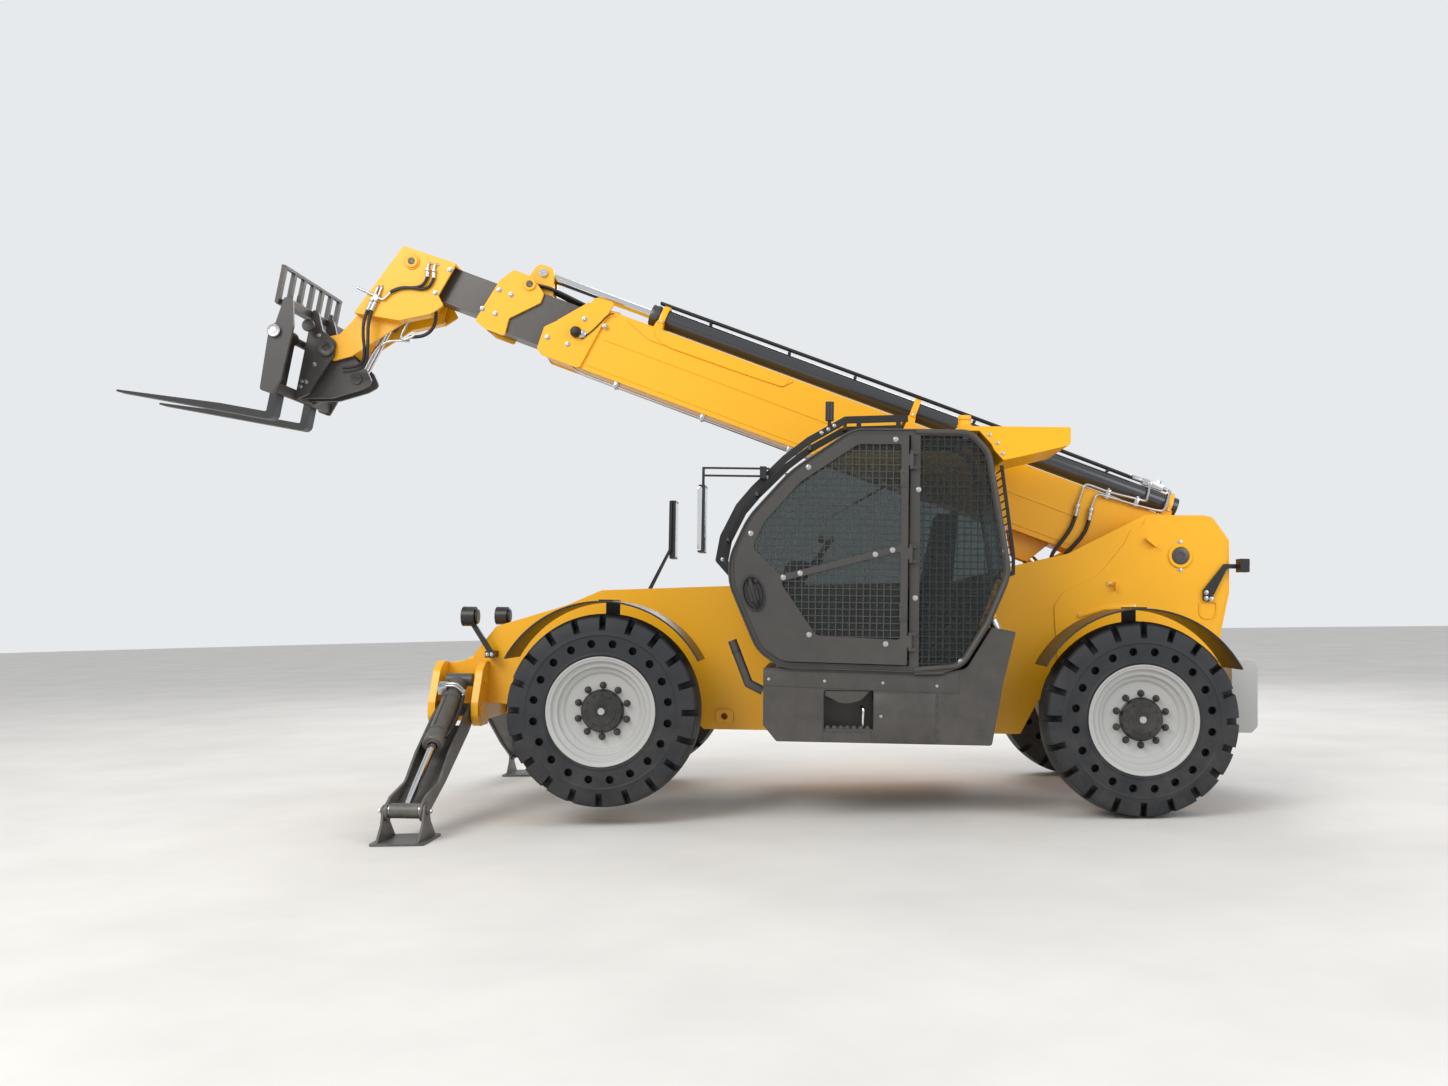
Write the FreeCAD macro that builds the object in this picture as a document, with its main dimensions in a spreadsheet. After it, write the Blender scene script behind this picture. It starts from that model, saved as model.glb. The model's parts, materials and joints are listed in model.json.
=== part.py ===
import FreeCAD, Part
import Sketcher
import math
import os

# Telehandler with a three-section boom, pallet forks and two front
# stabilizers. Millimetres, +Z up, the machine faces -X and its cab is on -Y.
# Most pieces are laid out in the chassis frame: x from the rear axle, z from
# the level ground. STANCE then raises the nose onto the stabilizers.

V = FreeCAD.Vector
Y_AXIS = V(0, 1, 0)

SIZES = [
    # alias, value, what it is
    ("wheelbase", 3317, "axle to axle"),
    ("track_width", 2045, "tyre centre to tyre centre"),
    ("tyre_radius", 600, "outer radius of a tyre"),
    ("tyre_width", 375, "tyre over its shoulders"),
    ("tyre_crown", 18, "fall of the tread at the shoulder"),
    ("groove_width", 40, "lug groove, around the tyre"),
    ("groove_depth", 34, "lug groove, radially"),
    ("groove_reach", 118, "lug groove, across the tyre"),
    ("groove_count", 20, "lug grooves a side"),
    ("vent_radius", 25, "round sidewall hole"),
    ("vent_circle", 418, "radius of the ring of sidewall holes"),
    ("vent_depth", 90, "depth of a sidewall hole"),
    ("rim_radius", 335, "rim flange radius"),
    ("rim_seat", 318, "rim barrel, outside radius"),
    ("rim_bore", 300, "rim barrel, inside radius"),
    ("disc_thick", 16, "wheel disc"),
    ("disc_inset", 70, "wheel disc from the outer face of the tyre"),
    ("hub_radius", 130, "planetary hub cover"),
    ("hub_proud", 58, "hub cover proud of the disc"),
    ("stud_circle", 158, "wheel stud circle radius"),
    ("stud_radius", 15, "wheel nut"),
    ("stud_proud", 26, "wheel nut height"),
    ("stud_count", 10, "wheel nuts"),
    ("nose_up", 1.84, "pitch of the chassis on its stabilizers, degrees"),
    ("frame_half", 360, "frame side plate, outer face from the middle"),
    ("frame_plate", 25, "frame side plate thickness"),
    ("frame_low", 426, "underside of the frame"),
    ("axle_height", 600, "axle centres above the ground"),
    ("axle_tube", 95, "axle housing radius"),
    ("axle_reach", 680, "axle housing, half length"),
    ("diff_radius", 190, "differential housing"),
    ("knuckle_inner", 700, "knuckle, inner face from the middle"),
    ("knuckle_radius", 120, "knuckle housing"),
    ("king_pin", 745, "steering pin from the middle"),
    ("fender_gap", 70, "fender over the tyre"),
    ("fender_thick", 10, "fender sheet"),
    ("fender_width", 400, "fender across"),
    ("pivot_x", 452, "boom pivot behind the rear axle"),
    ("pivot_z", 1641, "boom pivot above the ground"),
    ("pivot_pin", 45, "boom pivot pin radius"),
    ("boom_angle", 19.8, "boom above the chassis, degrees"),
    ("boom_half", 165, "outer boom, half width"),
    ("boom_top", 250, "outer boom, top above the pivot line"),
    ("boom_low", 205, "outer boom, underside below the pivot line"),
    ("boom_wall", 10, "outer boom plate"),
    ("boom_front", 4600, "outer boom, front end from the pivot"),
    ("stage_gap", 14, "between boom sections"),
    ("mid_wall", 9, "middle boom plate"),
    ("mid_front", 5000, "middle boom, front end from the pivot"),
    ("mid_rear", 700, "middle boom, rear end from the pivot"),
    ("inner_wall", 8, "inner boom plate"),
    ("inner_front", 5500, "inner boom, front end from the pivot"),
    ("inner_rear", 1150, "inner boom, rear end from the pivot"),
    ("ram_height", 352, "extension cylinder above the pivot line"),
    ("ram_radius", 72, "extension cylinder barrel"),
    ("ram_rod", 32, "extension cylinder rod radius"),
    ("ram_rear", 60, "extension cylinder, rear end from the pivot"),
    ("ram_front", 4010, "extension cylinder, gland from the pivot"),
    ("ram_eye", 4840, "extension rod eye from the pivot"),
    ("hinge_along", 6064, "carriage hinge along the boom"),
    ("hinge_below", 698, "carriage hinge below the pivot line"),
    ("head_half", 200, "boom head, half width"),
    ("head_plate", 20, "boom head plate"),
    ("carriage_tilt", 9.6, "forks above the chassis, degrees"),
    ("coupler_half", 155, "coupler plates, half width"),
    ("coupler_plate", 25, "coupler plate thickness"),
    ("hinge_pin", 38, "carriage hinge pin radius"),
    ("carriage_half", 520, "fork carriage, half width"),
    ("fork_half", 290, "fork centre from the middle"),
    ("fork_width", 110, "fork blade width"),
    ("fork_thick", 55, "fork shank thickness"),
    ("fork_drop", 580, "underside of the forks below the hinge"),
    ("fork_reach", 1110, "fork blade length"),
    ("shaft_radius", 28, "fork shaft radius"),
    ("backrest_top", 462, "backrest above the hinge"),
    ("lift_base_x", 460, "lift cylinder base pin behind the rear axle"),
    ("lift_base_z", 700, "lift cylinder base pin height"),
    ("lift_eye_along", 968, "lift rod eye along the boom"),
    ("lift_eye_below", 320, "lift rod eye below the pivot line"),
    ("lift_barrel", 80, "lift cylinder barrel radius"),
    ("lift_rod", 45, "lift rod radius"),
    ("tilt_base_along", 5703, "tilt cylinder base pin along the boom"),
    ("tilt_base_below", -82, "tilt cylinder base pin below the pivot line"),
    ("tilt_barrel", 55, "tilt cylinder barrel radius"),
    ("tilt_rod", 28, "tilt rod radius"),
    ("lever_back", 229, "tilt rod eye behind the carriage hinge"),
    ("lever_down", 170, "tilt rod eye below the carriage hinge"),
    ("leg_root_y", 545, "stabilizer leg pin from the middle"),
    ("leg_root_z", 545, "stabilizer leg pin above the chassis ground"),
    ("leg_x", 1073, "stabilizer legs ahead of the front axle"),
    ("foot_pin_y", 1545, "foot pin from the middle"),
    ("foot_pin_z", 175, "foot pin above the ground"),
    ("leg_gap", 190, "between the two plates of a leg"),
    ("leg_plate", 16, "leg side plate"),
    ("leg_ram_y", 470, "stabilizer cylinder base pin from the middle"),
    ("leg_ram_z", 740, "stabilizer cylinder base pin height"),
    ("leg_barrel", 62, "stabilizer cylinder barrel radius"),
    ("leg_rod", 24, "stabilizer rod radius"),
    ("foot_length", 320, "foot plate along the machine"),
    ("foot_width", 360, "foot plate across the machine"),
    ("foot_plate", 14, "foot plate thickness"),
    ("cab_out", 1170, "cab door side, from the middle"),
    ("cab_in", 375, "cab boom side, from the middle"),
    ("cab_wall", 40, "cab pillar and wall thickness"),
    ("cab_floor", 70, "cab floor thickness"),
    ("door_thick", 36, "cab door thickness"),
    ("door_gap", 6, "gap around the door"),
    ("glass_thick", 8, "window glass"),
    ("wire_pitch", 42, "guard wire spacing"),
    ("wire_thick", 7, "guard wire"),
    ("guard_bar", 45, "front guard, flat bar width"),
    ("guard_sheet", 14, "front guard, flat bar thickness"),
    ("handle_radius", 28, "grab handle radius"),
    ("skirt_out", 1150, "step box, outer face from the middle"),
    ("pod_out", 1130, "engine pod, outer face from the middle"),
    ("pod_front", 900, "engine pod, front end behind the front axle"),
    ("pod_back", 860, "engine pod, rear end ahead of the rear axle"),
    ("pod_top", 1330, "engine pod, top"),
    ("pod_low", 470, "engine pod, underside"),
    ("pod_wall", 8, "engine pod sheet"),
    ("weight_back", 890, "counterweight, rear face behind the rear axle"),
    ("lug_bore", 22, "tie-down hole radius"),
    ("lug_thick", 30, "tie-down lug, outside the plate"),
    ("pin_play", 0.5, "clearance round a pin"),
    ("seat_gap", 0.3, "between a piece and its seat"),
]


class Num:
    """A number together with the sheet formula that gives it."""

    def __init__(self, text, value):
        self.text = text
        self.value = float(value)

    def _mix(self, other, sign, flip=False):
        o = other if isinstance(other, Num) else Num(repr(float(other)), other)
        a, b = (o, self) if flip else (self, o)
        value = {"+": lambda: a.value + b.value, "-": lambda: a.value - b.value,
                 "*": lambda: a.value * b.value, "/": lambda: a.value / b.value}[sign]()
        return Num(f"({a.text} {sign} {b.text})", value)

    def __add__(self, o): return self._mix(o, "+")
    def __radd__(self, o): return self._mix(o, "+", True)
    def __sub__(self, o): return self._mix(o, "-")
    def __rsub__(self, o): return self._mix(o, "-", True)
    def __mul__(self, o): return self._mix(o, "*")
    def __rmul__(self, o): return self._mix(o, "*", True)
    def __truediv__(self, o): return self._mix(o, "/")
    def __neg__(self): return self._mix(-1, "*")


def val(x):
    return x.value if isinstance(x, Num) else float(x)


doc = FreeCAD.newDocument("telehandler")
sheet = doc.addObject("Spreadsheet::Sheet", "Sizes")


class S:
    """The sheet's cells by name."""


for row, (alias, number, note) in enumerate(SIZES, 1):
    sheet.set(f"A{row}", note)
    sheet.set(f"B{row}", str(number))
    sheet.setAlias(f"B{row}", alias)
    setattr(S, alias, Num(f"Sizes.{alias}", number))
doc.recompute()


def bind(obj, prop, x):
    """Gives a property its value, tied to the sheet where the value is."""
    if isinstance(x, Num):
        obj.setExpression(prop, x.text)
    else:
        target, *rest = prop.split(".")
        if not rest:
            setattr(obj, prop, x)
        elif rest == ["Base", "x"] or rest == ["Base", "y"] or rest == ["Base", "z"]:
            place = getattr(obj, target)
            setattr(place.Base, rest[1], x)
            setattr(obj, target, place)


# ---------------------------------------------------------- profile sketches
PLANES = {"XZ": "XZ_Plane", "XY": "XY_Plane", "YZ": "YZ_Plane"}


def corner_arcs(rows):
    """Corner points, radii and tangent points of a closed outline."""
    points = [V(val(r[0]), val(r[1]), 0) for r in rows]
    radii = [val(r[2]) if len(r) > 2 else 0.0 for r in rows]
    ends = []
    for i, q in enumerate(points):
        to_prev = (points[i - 1] - q).normalize()
        to_next = (points[(i + 1) % len(points)] - q).normalize()
        if radii[i] <= 0:
            ends.append((q, None, q))
            continue
        half = to_prev.getAngle(to_next) / 2
        back = radii[i] / math.tan(half)
        centre = q + (to_prev + to_next).normalize() * (radii[i] / math.sin(half))
        middle = centre + (q - centre).normalize() * radii[i]
        ends.append((q + to_prev * back, middle, q + to_next * back))
    return points, radii, ends


def named(kind, where, size, name):
    """A constraint with a name, so that a sheet formula can drive it."""
    constraint = Sketcher.Constraint(kind, *where, val(size))
    constraint.Name = name
    return constraint, size


def apply(sketch, free, driven):
    sketch.addConstraint(free + [constraint for constraint, size in driven])
    for constraint, size in driven:
        if isinstance(size, Num):
            sketch.setExpression(f"Constraints.{constraint.Name}", size.text)


def draw(sketch, rows, tag):
    """Adds a closed outline of (x, y) corners to a sketch."""
    points = [V(val(row[0]), val(row[1]), 0) for row in rows]
    count = len(rows)
    lines = [sketch.addGeometry(Part.LineSegment(points[i], points[(i + 1) % count]), False)
             for i in range(count)]
    free = [Sketcher.Constraint("Coincident", lines[i - 1], 2, lines[i], 1) for i in range(count)]
    driven = []
    for i, row in enumerate(rows):
        driven.append(named("DistanceX", (-1, 1, lines[i], 1), row[0], f"{tag}X{i}"))
        driven.append(named("DistanceY", (-1, 1, lines[i], 1), row[1], f"{tag}Y{i}"))
    apply(sketch, free, driven)


def draw_circle(sketch, x, y, r, tag):
    ring = sketch.addGeometry(Part.Circle(V(val(x), val(y), 0), V(0, 0, 1), val(r)), False)
    apply(sketch, [], [named("Radius", (ring,), r, f"{tag}R"),
                       named("DistanceX", (-1, 1, ring, 3), x, f"{tag}X"),
                       named("DistanceY", (-1, 1, ring, 3), y, f"{tag}Y")])


def sketch_on(body, plane, name, away=0):
    sketch = body.newObject("Sketcher::SketchObject", name)
    base = [f for f in body.Origin.OriginFeatures if f.Role == PLANES[plane]][0]
    sketch.AttachmentSupport = [(base, "")]
    sketch.MapMode = "FlatFace"
    offset = FreeCAD.Placement()
    offset.Base.z = val(away)
    sketch.AttachmentOffset = offset
    if isinstance(away, Num):
        sketch.setExpression("AttachmentOffset.Base.z", away.text)
    return sketch


def outline_wire(rows):
    """The closed outline of (x, y, corner radius) rows, flat on XY."""
    points, radii, ends = corner_arcs(rows)
    edges = []
    for i, (start, middle, end) in enumerate(ends):
        if middle is not None:
            edges.append(Part.Arc(start, middle, end).toShape())
        following = ends[(i + 1) % len(ends)][0]
        if (following - end).Length > 1e-6:
            edges.append(Part.LineSegment(end, following).toShape())
    return Part.Wire(edges)


def flat(name, rows, holes=(), rounds=()):
    """The filled outline, with its holes, as a face flat on XY."""
    wires = [outline_wire(rows)] + [outline_wire(hole) for hole in holes]
    for x, y, r in rounds:
        wires.append(Part.Wire(Part.Circle(V(val(x), val(y), 0), V(0, 0, 1), val(r)).toShape()))
    face = doc.addObject("Part::Feature", f"{name}_outline")
    face.Shape = Part.makeFace(wires, "Part::FaceMakerBullseye")
    return face


# The turn that lays a flat outline onto each plane, and the way it then faces.
LAY = {"XY": (FreeCAD.Rotation(), V(0, 0, 1)),
       "XZ": (FreeCAD.Rotation(V(1, 0, 0), 90), V(0, 1, 0)),
       "YZ": (FreeCAD.Rotation(V(1, 1, 1), 120), V(1, 0, 0))}


def has_corners(*outlines):
    return any(len(row) > 2 for rows in outlines for row in rows)


def prism(name, rows, low, high, plane="XZ", holes=(), rounds=()):
    """An outline of (x, y) or (x, y, corner radius) rows from low to high across its plane."""
    if has_corners(rows, *holes):
        turn, way = LAY[plane]
        face = flat(name, rows, holes, rounds)
        face.Placement = FreeCAD.Placement(way * val(low), turn)
        run = doc.addObject("Part::Extrusion", name)
        run.Base = face
        run.DirMode = "Custom"
        run.Dir = way
        run.Solid = True
        bind(run, "LengthFwd", high - low)
        return run
    body = doc.addObject("PartDesign::Body", name)
    # The XZ plane of a body looks along -Y, so a pad on it runs downwards in Y.
    away = -high if plane == "XZ" else low
    sketch = sketch_on(body, plane, f"{name}_outline", away)
    draw(sketch, rows, "p")
    for k, hole in enumerate(holes):
        draw(sketch, hole, f"h{k}_")
    for k, (x, y, r) in enumerate(rounds):
        draw_circle(sketch, x, y, r, f"c{k}_")
    pad = body.newObject("PartDesign::Pad", f"{name}_pad")
    pad.Profile = sketch
    bind(pad, "Length", high - low)
    return body


def turned(name, rows):
    """A solid revolved about the Y axis from (radius, y) or (radius, y, corner radius) rows."""
    if has_corners(rows):
        turn = doc.addObject("Part::Revolution", name)
        turn.Source = flat(name, rows)
        turn.Axis = Y_AXIS
        turn.Angle = 360
        turn.Solid = True
        return turn
    body = doc.addObject("PartDesign::Body", name)
    sketch = sketch_on(body, "XY", f"{name}_section")
    draw(sketch, rows, "p")
    turn = body.newObject("PartDesign::Revolution", f"{name}_turn")
    turn.Profile = sketch
    turn.ReferenceAxis = (sketch, ["V_Axis"])
    turn.Angle = 360
    return body


# ------------------------------------------------------------ plain solids
def put(obj, x, y, z):
    for prop, size in (("x", x), ("y", y), ("z", z)):
        if isinstance(size, Num):
            obj.setExpression(f"Placement.Base.{prop}", size.text)
        else:
            place = obj.Placement
            setattr(place.Base, prop, float(size))
            obj.Placement = place
    return obj


def box(name, x0, x1, y0, y1, z0, z1):
    obj = doc.addObject("Part::Box", name)
    bind(obj, "Length", x1 - x0)
    bind(obj, "Width", y1 - y0)
    bind(obj, "Height", z1 - z0)
    return put(obj, x0, y0, z0)


TURNS = {"Z": FreeCAD.Rotation(), "Y": FreeCAD.Rotation(V(1, 0, 0), -90),
         "X": FreeCAD.Rotation(V(0, 1, 0), 90)}


def rod(name, radius, length, axis, x, y, z):
    """A cylinder from (x, y, z) along +axis."""
    obj = doc.addObject("Part::Cylinder", name)
    obj.Placement = FreeCAD.Placement(V(0, 0, 0), TURNS[axis])
    bind(obj, "Radius", radius)
    bind(obj, "Height", length)
    return put(obj, x, y, z)


def pin_across(name, radius, half, x, z):
    """A cylinder across the machine, the same each side of the middle."""
    return rod(name, radius, 2 * half, "Y", x, -half, z)


def join(name, parts):
    if len(parts) == 1:
        return parts[0]
    obj = doc.addObject("Part::MultiFuse", name)
    obj.Shapes = parts
    obj.Refine = True
    return obj


def less(name, base, tools):
    obj = doc.addObject("Part::Cut", name)
    obj.Base = base
    obj.Tool = join(f"{name}_cutters", tools)
    return obj


def group(name, parts):
    obj = doc.addObject("Part::Compound", name)
    obj.Links = parts
    return obj


def mirror(name, source):
    obj = doc.addObject("Part::Mirroring", name)
    obj.Source = source
    obj.Normal = Y_AXIS
    return obj


def moved(name, source, place):
    """A copy of another object, in another place."""
    obj = doc.addObject("Part::Compound", name)
    obj.Links = [source]
    obj.Placement = place
    return obj


def along(start, end):
    """The placement whose Z axis runs from start to end."""
    return FreeCAD.Placement(start, FreeCAD.Rotation(V(0, 0, 1), end - start))


# ------------------------------------------------------------------ frames
FRONT = -S.wheelbase
AXLE_Z = S.axle_height
STANCE = FreeCAD.Placement(V(0, 0, 0), FreeCAD.Rotation(Y_AXIS, val(S.nose_up)), V(0, 0, val(AXLE_Z)))
BOOM = FreeCAD.Placement(V(val(S.pivot_x), 0, val(S.pivot_z)),
                         FreeCAD.Rotation(Y_AXIS, val(S.boom_angle)))
CARRIAGE = BOOM * FreeCAD.Placement(
    V(-val(S.hinge_along), 0, -val(S.hinge_below)),
    FreeCAD.Rotation(Y_AXIS, val(S.carriage_tilt) - val(S.boom_angle)))
NODES = []


def node(label, obj, frame=None):
    """A finished piece, under its own label, set in its frame on the machine."""
    piece = doc.addObject("Part::Compound", f"piece_{label}")
    piece.Links = [obj]
    piece.Label = label
    piece.Placement = STANCE if frame is None else STANCE.multiply(frame)
    NODES.append(piece)
    return obj


# ------------------------------------------------------------- main frame
# Outline of a side plate. The nose follows the front axle, the tower the pivot.
F = FRONT
PX, PZ = S.pivot_x, S.pivot_z
PLATE = [
    (F - 1015, 590, 20), (F - 1015, 905, 20), (F - 866, 1100, 30), (F - 657, 1165, 40),
    (F - 388, 1250, 60), (F - 153, 1355, 80), (F + 690, 1395, 60), (-1100, 1440, 60),
    (-664, 1562, 40), (-302, 1648, 60), (PX - 240, PZ + 276, 60), (PX + 150, PZ + 278, 30),
    (PX + 215, PZ + 270, 60), (PX + 330, PZ + 112, 50), (PX + 330, PZ - 240, 60),
    (PX + 270, PZ - 530, 60), (PX + 270, 560, 40), (430, 560, 40), (330, AXLE_Z + 130, 40),
    (-330, AXLE_Z + 130, 40), (-499, AXLE_Z + 60, 40), (-621, S.frame_low, 20),
    (F + 555, S.frame_low, 30), (F + 400, AXLE_Z + 60, 40), (F + 330, AXLE_Z + 130, 40),
    (F - 330, AXLE_Z + 130, 40), (F - 430, AXLE_Z + 40, 40), (F - 790, 575, 30)]
INNER = S.frame_half - S.frame_plate
# Tie-down lugs low on the frame, one near each corner, bored with the plate.
TIE_EYES = [
    # name, x, z
    ("front", F + 700, S.frame_low + 90),
    ("rear", PX + 190, 640)]
LUG_ROWS = [(-60, -45, 15), (-60, 45, 30), (60, 45, 30), (60, -45, 15)]
tie_bores = [(x, z, S.lug_bore) for name, x, z in TIE_EYES]
plate_left = prism("plate_left_blank", PLATE, -S.frame_half, -INNER,
                   rounds=[(PX, PZ, S.pivot_pin)] + tie_bores)
lugs = []
for name, x, z in TIE_EYES:
    rows = [(x + dx, z + dz, r) for dx, dz, r in LUG_ROWS]
    lugs.append(prism(f"lug_{name}", rows, -S.frame_half - S.lug_thick, -S.frame_half,
                      rounds=[(x, z, S.lug_bore)]))
frame_left = join("frame_left", [plate_left] + lugs)
node("frame_plates", group("frame_plates_set", [frame_left, mirror("frame_right", frame_left)]))

# Cross members between the two side plates, each a plain welded box or plate.
CROSS = [
    # name, x from, x to, z from, z to
    ("belly", -2700, -700, S.frame_low + 4, S.frame_low + 24),
    ("front_wall", -2700, -2680, S.frame_low + 24, 900),
    ("rear_wall", -720, -700, S.frame_low + 24, 900),
    ("front_deck", F - 830, -2700, 880, 900),
    ("front_sill", F - 860, F - 480, 600, 620),
    ("rear_sill", S.lift_base_x - 62, PX + 262, 570, 590),
    ("tail_plate", PX + 236, PX + 262, 590, 1000),
    ("tower_tie", -420, -400, 880, 1080),
]
crosses = []
for name, x0, x1, z0, z1 in CROSS:
    crosses.append(box(f"cross_{name}", x0, x1, -INNER, INNER, z0, z1))
# The base of the lift cylinder: two lugs on the rear sill and the pin's heads.
LIFT_EYE = 60
for side, low, high in (("left", -LIFT_EYE - 30, -LIFT_EYE), ("right", LIFT_EYE, LIFT_EYE + 30)):
    lug = prism(f"lift_lug_{side}", [(S.lift_base_x - 62, 590), (S.lift_base_x - 62, S.lift_base_z + 70, 50),
                                     (S.lift_base_x + 60, S.lift_base_z + 70, 50),
                                     (S.lift_base_x + 88, 590)], low, high)
    crosses.append(lug)
# Boom pivot pin, with a head outside each plate.
pivot = join("pivot_pin_set", [
    pin_across("pivot_shaft", S.pivot_pin - S.pin_play, S.frame_half + 8, PX, PZ),
    rod("pivot_head_left", S.pivot_pin + 12, 12, "Y", PX, -S.frame_half - 12, PZ),
    rod("pivot_head_right", S.pivot_pin + 12, 12, "Y", PX, S.frame_half, PZ)])
node("frame_cross", group("frame_cross_all", [join("frame_cross_set", crosses), pivot]))

# ------------------------------------------------------- nose and brackets
LEG_X = F - S.leg_x
EAR_IN = S.leg_gap / 2 + S.leg_plate + 7
EAR_OUT = EAR_IN + 48
EAR = [(-330, 862, 15), (-430, 862, 30), (-520, 815, 60), (-625, 600, 50), (-625, 500, 50),
       (-560, 440, 50), (-330, 440, 15)]
ears = []
REAR_EAR = [(-S.frame_half - S.seat_gap, 862), *EAR[1:6], (-S.frame_half - S.seat_gap, 440)]
for name, rows, x0, x1 in (("front", EAR, LEG_X - EAR_OUT, LEG_X - EAR_IN),
                           ("rear", REAR_EAR, LEG_X + EAR_IN, LEG_X + EAR_OUT)):
    ear = prism(f"ear_{name}", rows, x0, x1, "YZ")
    ears += [ear, mirror(f"ear_{name}_right", ear)]
beam = box("nose_beam", LEG_X - EAR_IN, LEG_X + EAR_IN, -INNER, INNER, 455, 850)
nose_top = prism("nose_top", [(LEG_X - 60, 850), (LEG_X + 130, 905, 20), (F - 866, 1095, 30),
                              (F - 650, 1150), (F - 650, 1000), (LEG_X + EAR_IN, 850)], -INNER, INNER)
pins = []
for side, k in (("left", -1), ("right", 1)):
    for name, y, z, r in (("leg", S.leg_root_y, S.leg_root_z, 38), ("ram", S.leg_ram_y, S.leg_ram_z, 26)):
        for end, x in (("front", LEG_X - EAR_OUT - 10), ("rear", LEG_X + EAR_OUT)):
            pins.append(rod(f"{name}_head_{end}_{side}", r, 10, "X", x, k * y, z))
node("nose", join("nose_set", ears + [beam, nose_top] + pins))

# ------------------------------------------------------------------- axles
BOSS = 90
axles = []
for name, x in (("front", F), ("rear", 0)):
    parts = [pin_across(f"{name}_housing", S.axle_tube, S.axle_reach, x, AXLE_Z),
             pin_across(f"{name}_diff", S.diff_radius, 150, x, AXLE_Z),
             box(f"{name}_pad_left", x - 110, x + 110, -S.frame_half - 20, -300, AXLE_Z, AXLE_Z + 130),
             box(f"{name}_pad_right", x - 110, x + 110, 300, S.frame_half + 20, AXLE_Z, AXLE_Z + 130)]
    for side, k in (("left", -1), ("right", 1)):
        parts.append(rod(f"{name}_king_{side}", 68, 2 * BOSS, "Z", x, k * S.king_pin, AXLE_Z - BOSS))
    axles.append(join(f"{name}_axle_set", parts))
node("axles", group("axles_set", axles))

# ---------------------------------------------------- wheels and knuckles
OUT_FACE = (S.track_width + S.tyre_width) / 2
IN_FACE = (S.track_width - S.tyre_width) / 2
DISC_OUT = OUT_FACE - S.disc_inset
DISC_IN = DISC_OUT - S.disc_thick
HALF = S.tyre_width / 2
# Left wheel about its own axle: y runs outwards to -Y, from the tyre's middle.
MID = S.track_width / 2
tyre_blank = turned("tyre_blank", [
    (S.rim_seat, -HALF + 18), (S.rim_radius + 6, -HALF + 2), (S.tyre_radius - 95, -HALF, 20),
    (S.tyre_radius - S.tyre_crown, -HALF + 22, 8), (S.tyre_radius, -HALF / 3), (S.tyre_radius, HALF / 3),
    (S.tyre_radius - S.tyre_crown, HALF - 22, 8), (S.tyre_radius - 95, HALF, 20),
    (S.rim_radius + 6, HALF - 2), (S.rim_seat, HALF - 18)])
grooves = []
count = int(val(S.groove_count))
for k in range(count):
    for side, turn in ((-1, 0.0), (1, 0.5)):
        blade = doc.addObject("Part::Box", f"groove_{k}_{'out' if side < 0 else 'in'}")
        bind(blade, "Length", S.groove_width)
        bind(blade, "Width", S.groove_reach)
        bind(blade, "Height", S.groove_depth + 60)
        angle = 360.0 * (k + turn) / count
        spin = FreeCAD.Rotation(Y_AXIS, angle)
        y0 = -val(HALF) - 1 if side < 0 else val(HALF) + 1 - val(S.groove_reach)
        start = V(-val(S.groove_width) / 2, y0, val(S.tyre_radius - S.groove_depth - S.tyre_crown))
        blade.Placement = FreeCAD.Placement(spin.multVec(start), spin)
        grooves.append(blade)
tyre = less("tyre_cut", tyre_blank, grooves)
RIM_OUT = S.rim_seat - S.seat_gap
rim_blank = turned("rim_blank", [
    (S.rim_bore, -HALF + 6), (S.rim_radius, -HALF - 4), (S.rim_radius, -HALF + 5), (RIM_OUT, -HALF + 17),
    (RIM_OUT, HALF - 17), (S.rim_radius, HALF - 5), (S.rim_radius, HALF + 4), (S.rim_bore, HALF - 6)])
DISC_Y = MID - DISC_OUT
disc = turned("rim_disc", [(0, DISC_Y), (S.rim_bore + 1, DISC_Y), (S.rim_bore + 1, DISC_Y + S.disc_thick),
                           (0, DISC_Y + S.disc_thick)])
hub = turned("rim_hub", [(0, DISC_Y - S.hub_proud), (S.hub_radius - 45, DISC_Y - S.hub_proud, 10),
                         (S.hub_radius - 28, DISC_Y - S.hub_proud + 22), (S.hub_radius, DISC_Y - 20, 8),
                         (S.hub_radius, DISC_Y), (0, DISC_Y)])
nuts = []
for k in range(int(val(S.stud_count))):
    a = 2 * math.pi * k / val(S.stud_count)
    nut = doc.addObject("Part::Prism", f"wheel_nut_{k}")
    nut.Polygon = 6
    bind(nut, "Circumradius", S.stud_radius)
    bind(nut, "Height", S.stud_proud)
    nut.Placement = FreeCAD.Placement(
        V(val(S.stud_circle) * math.cos(a), val(DISC_Y) - val(S.stud_proud), val(S.stud_circle) * math.sin(a)),
        TURNS["Y"])
    nuts.append(nut)
rim = join("rim_set", [rim_blank, disc, hub] + nuts)
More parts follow.
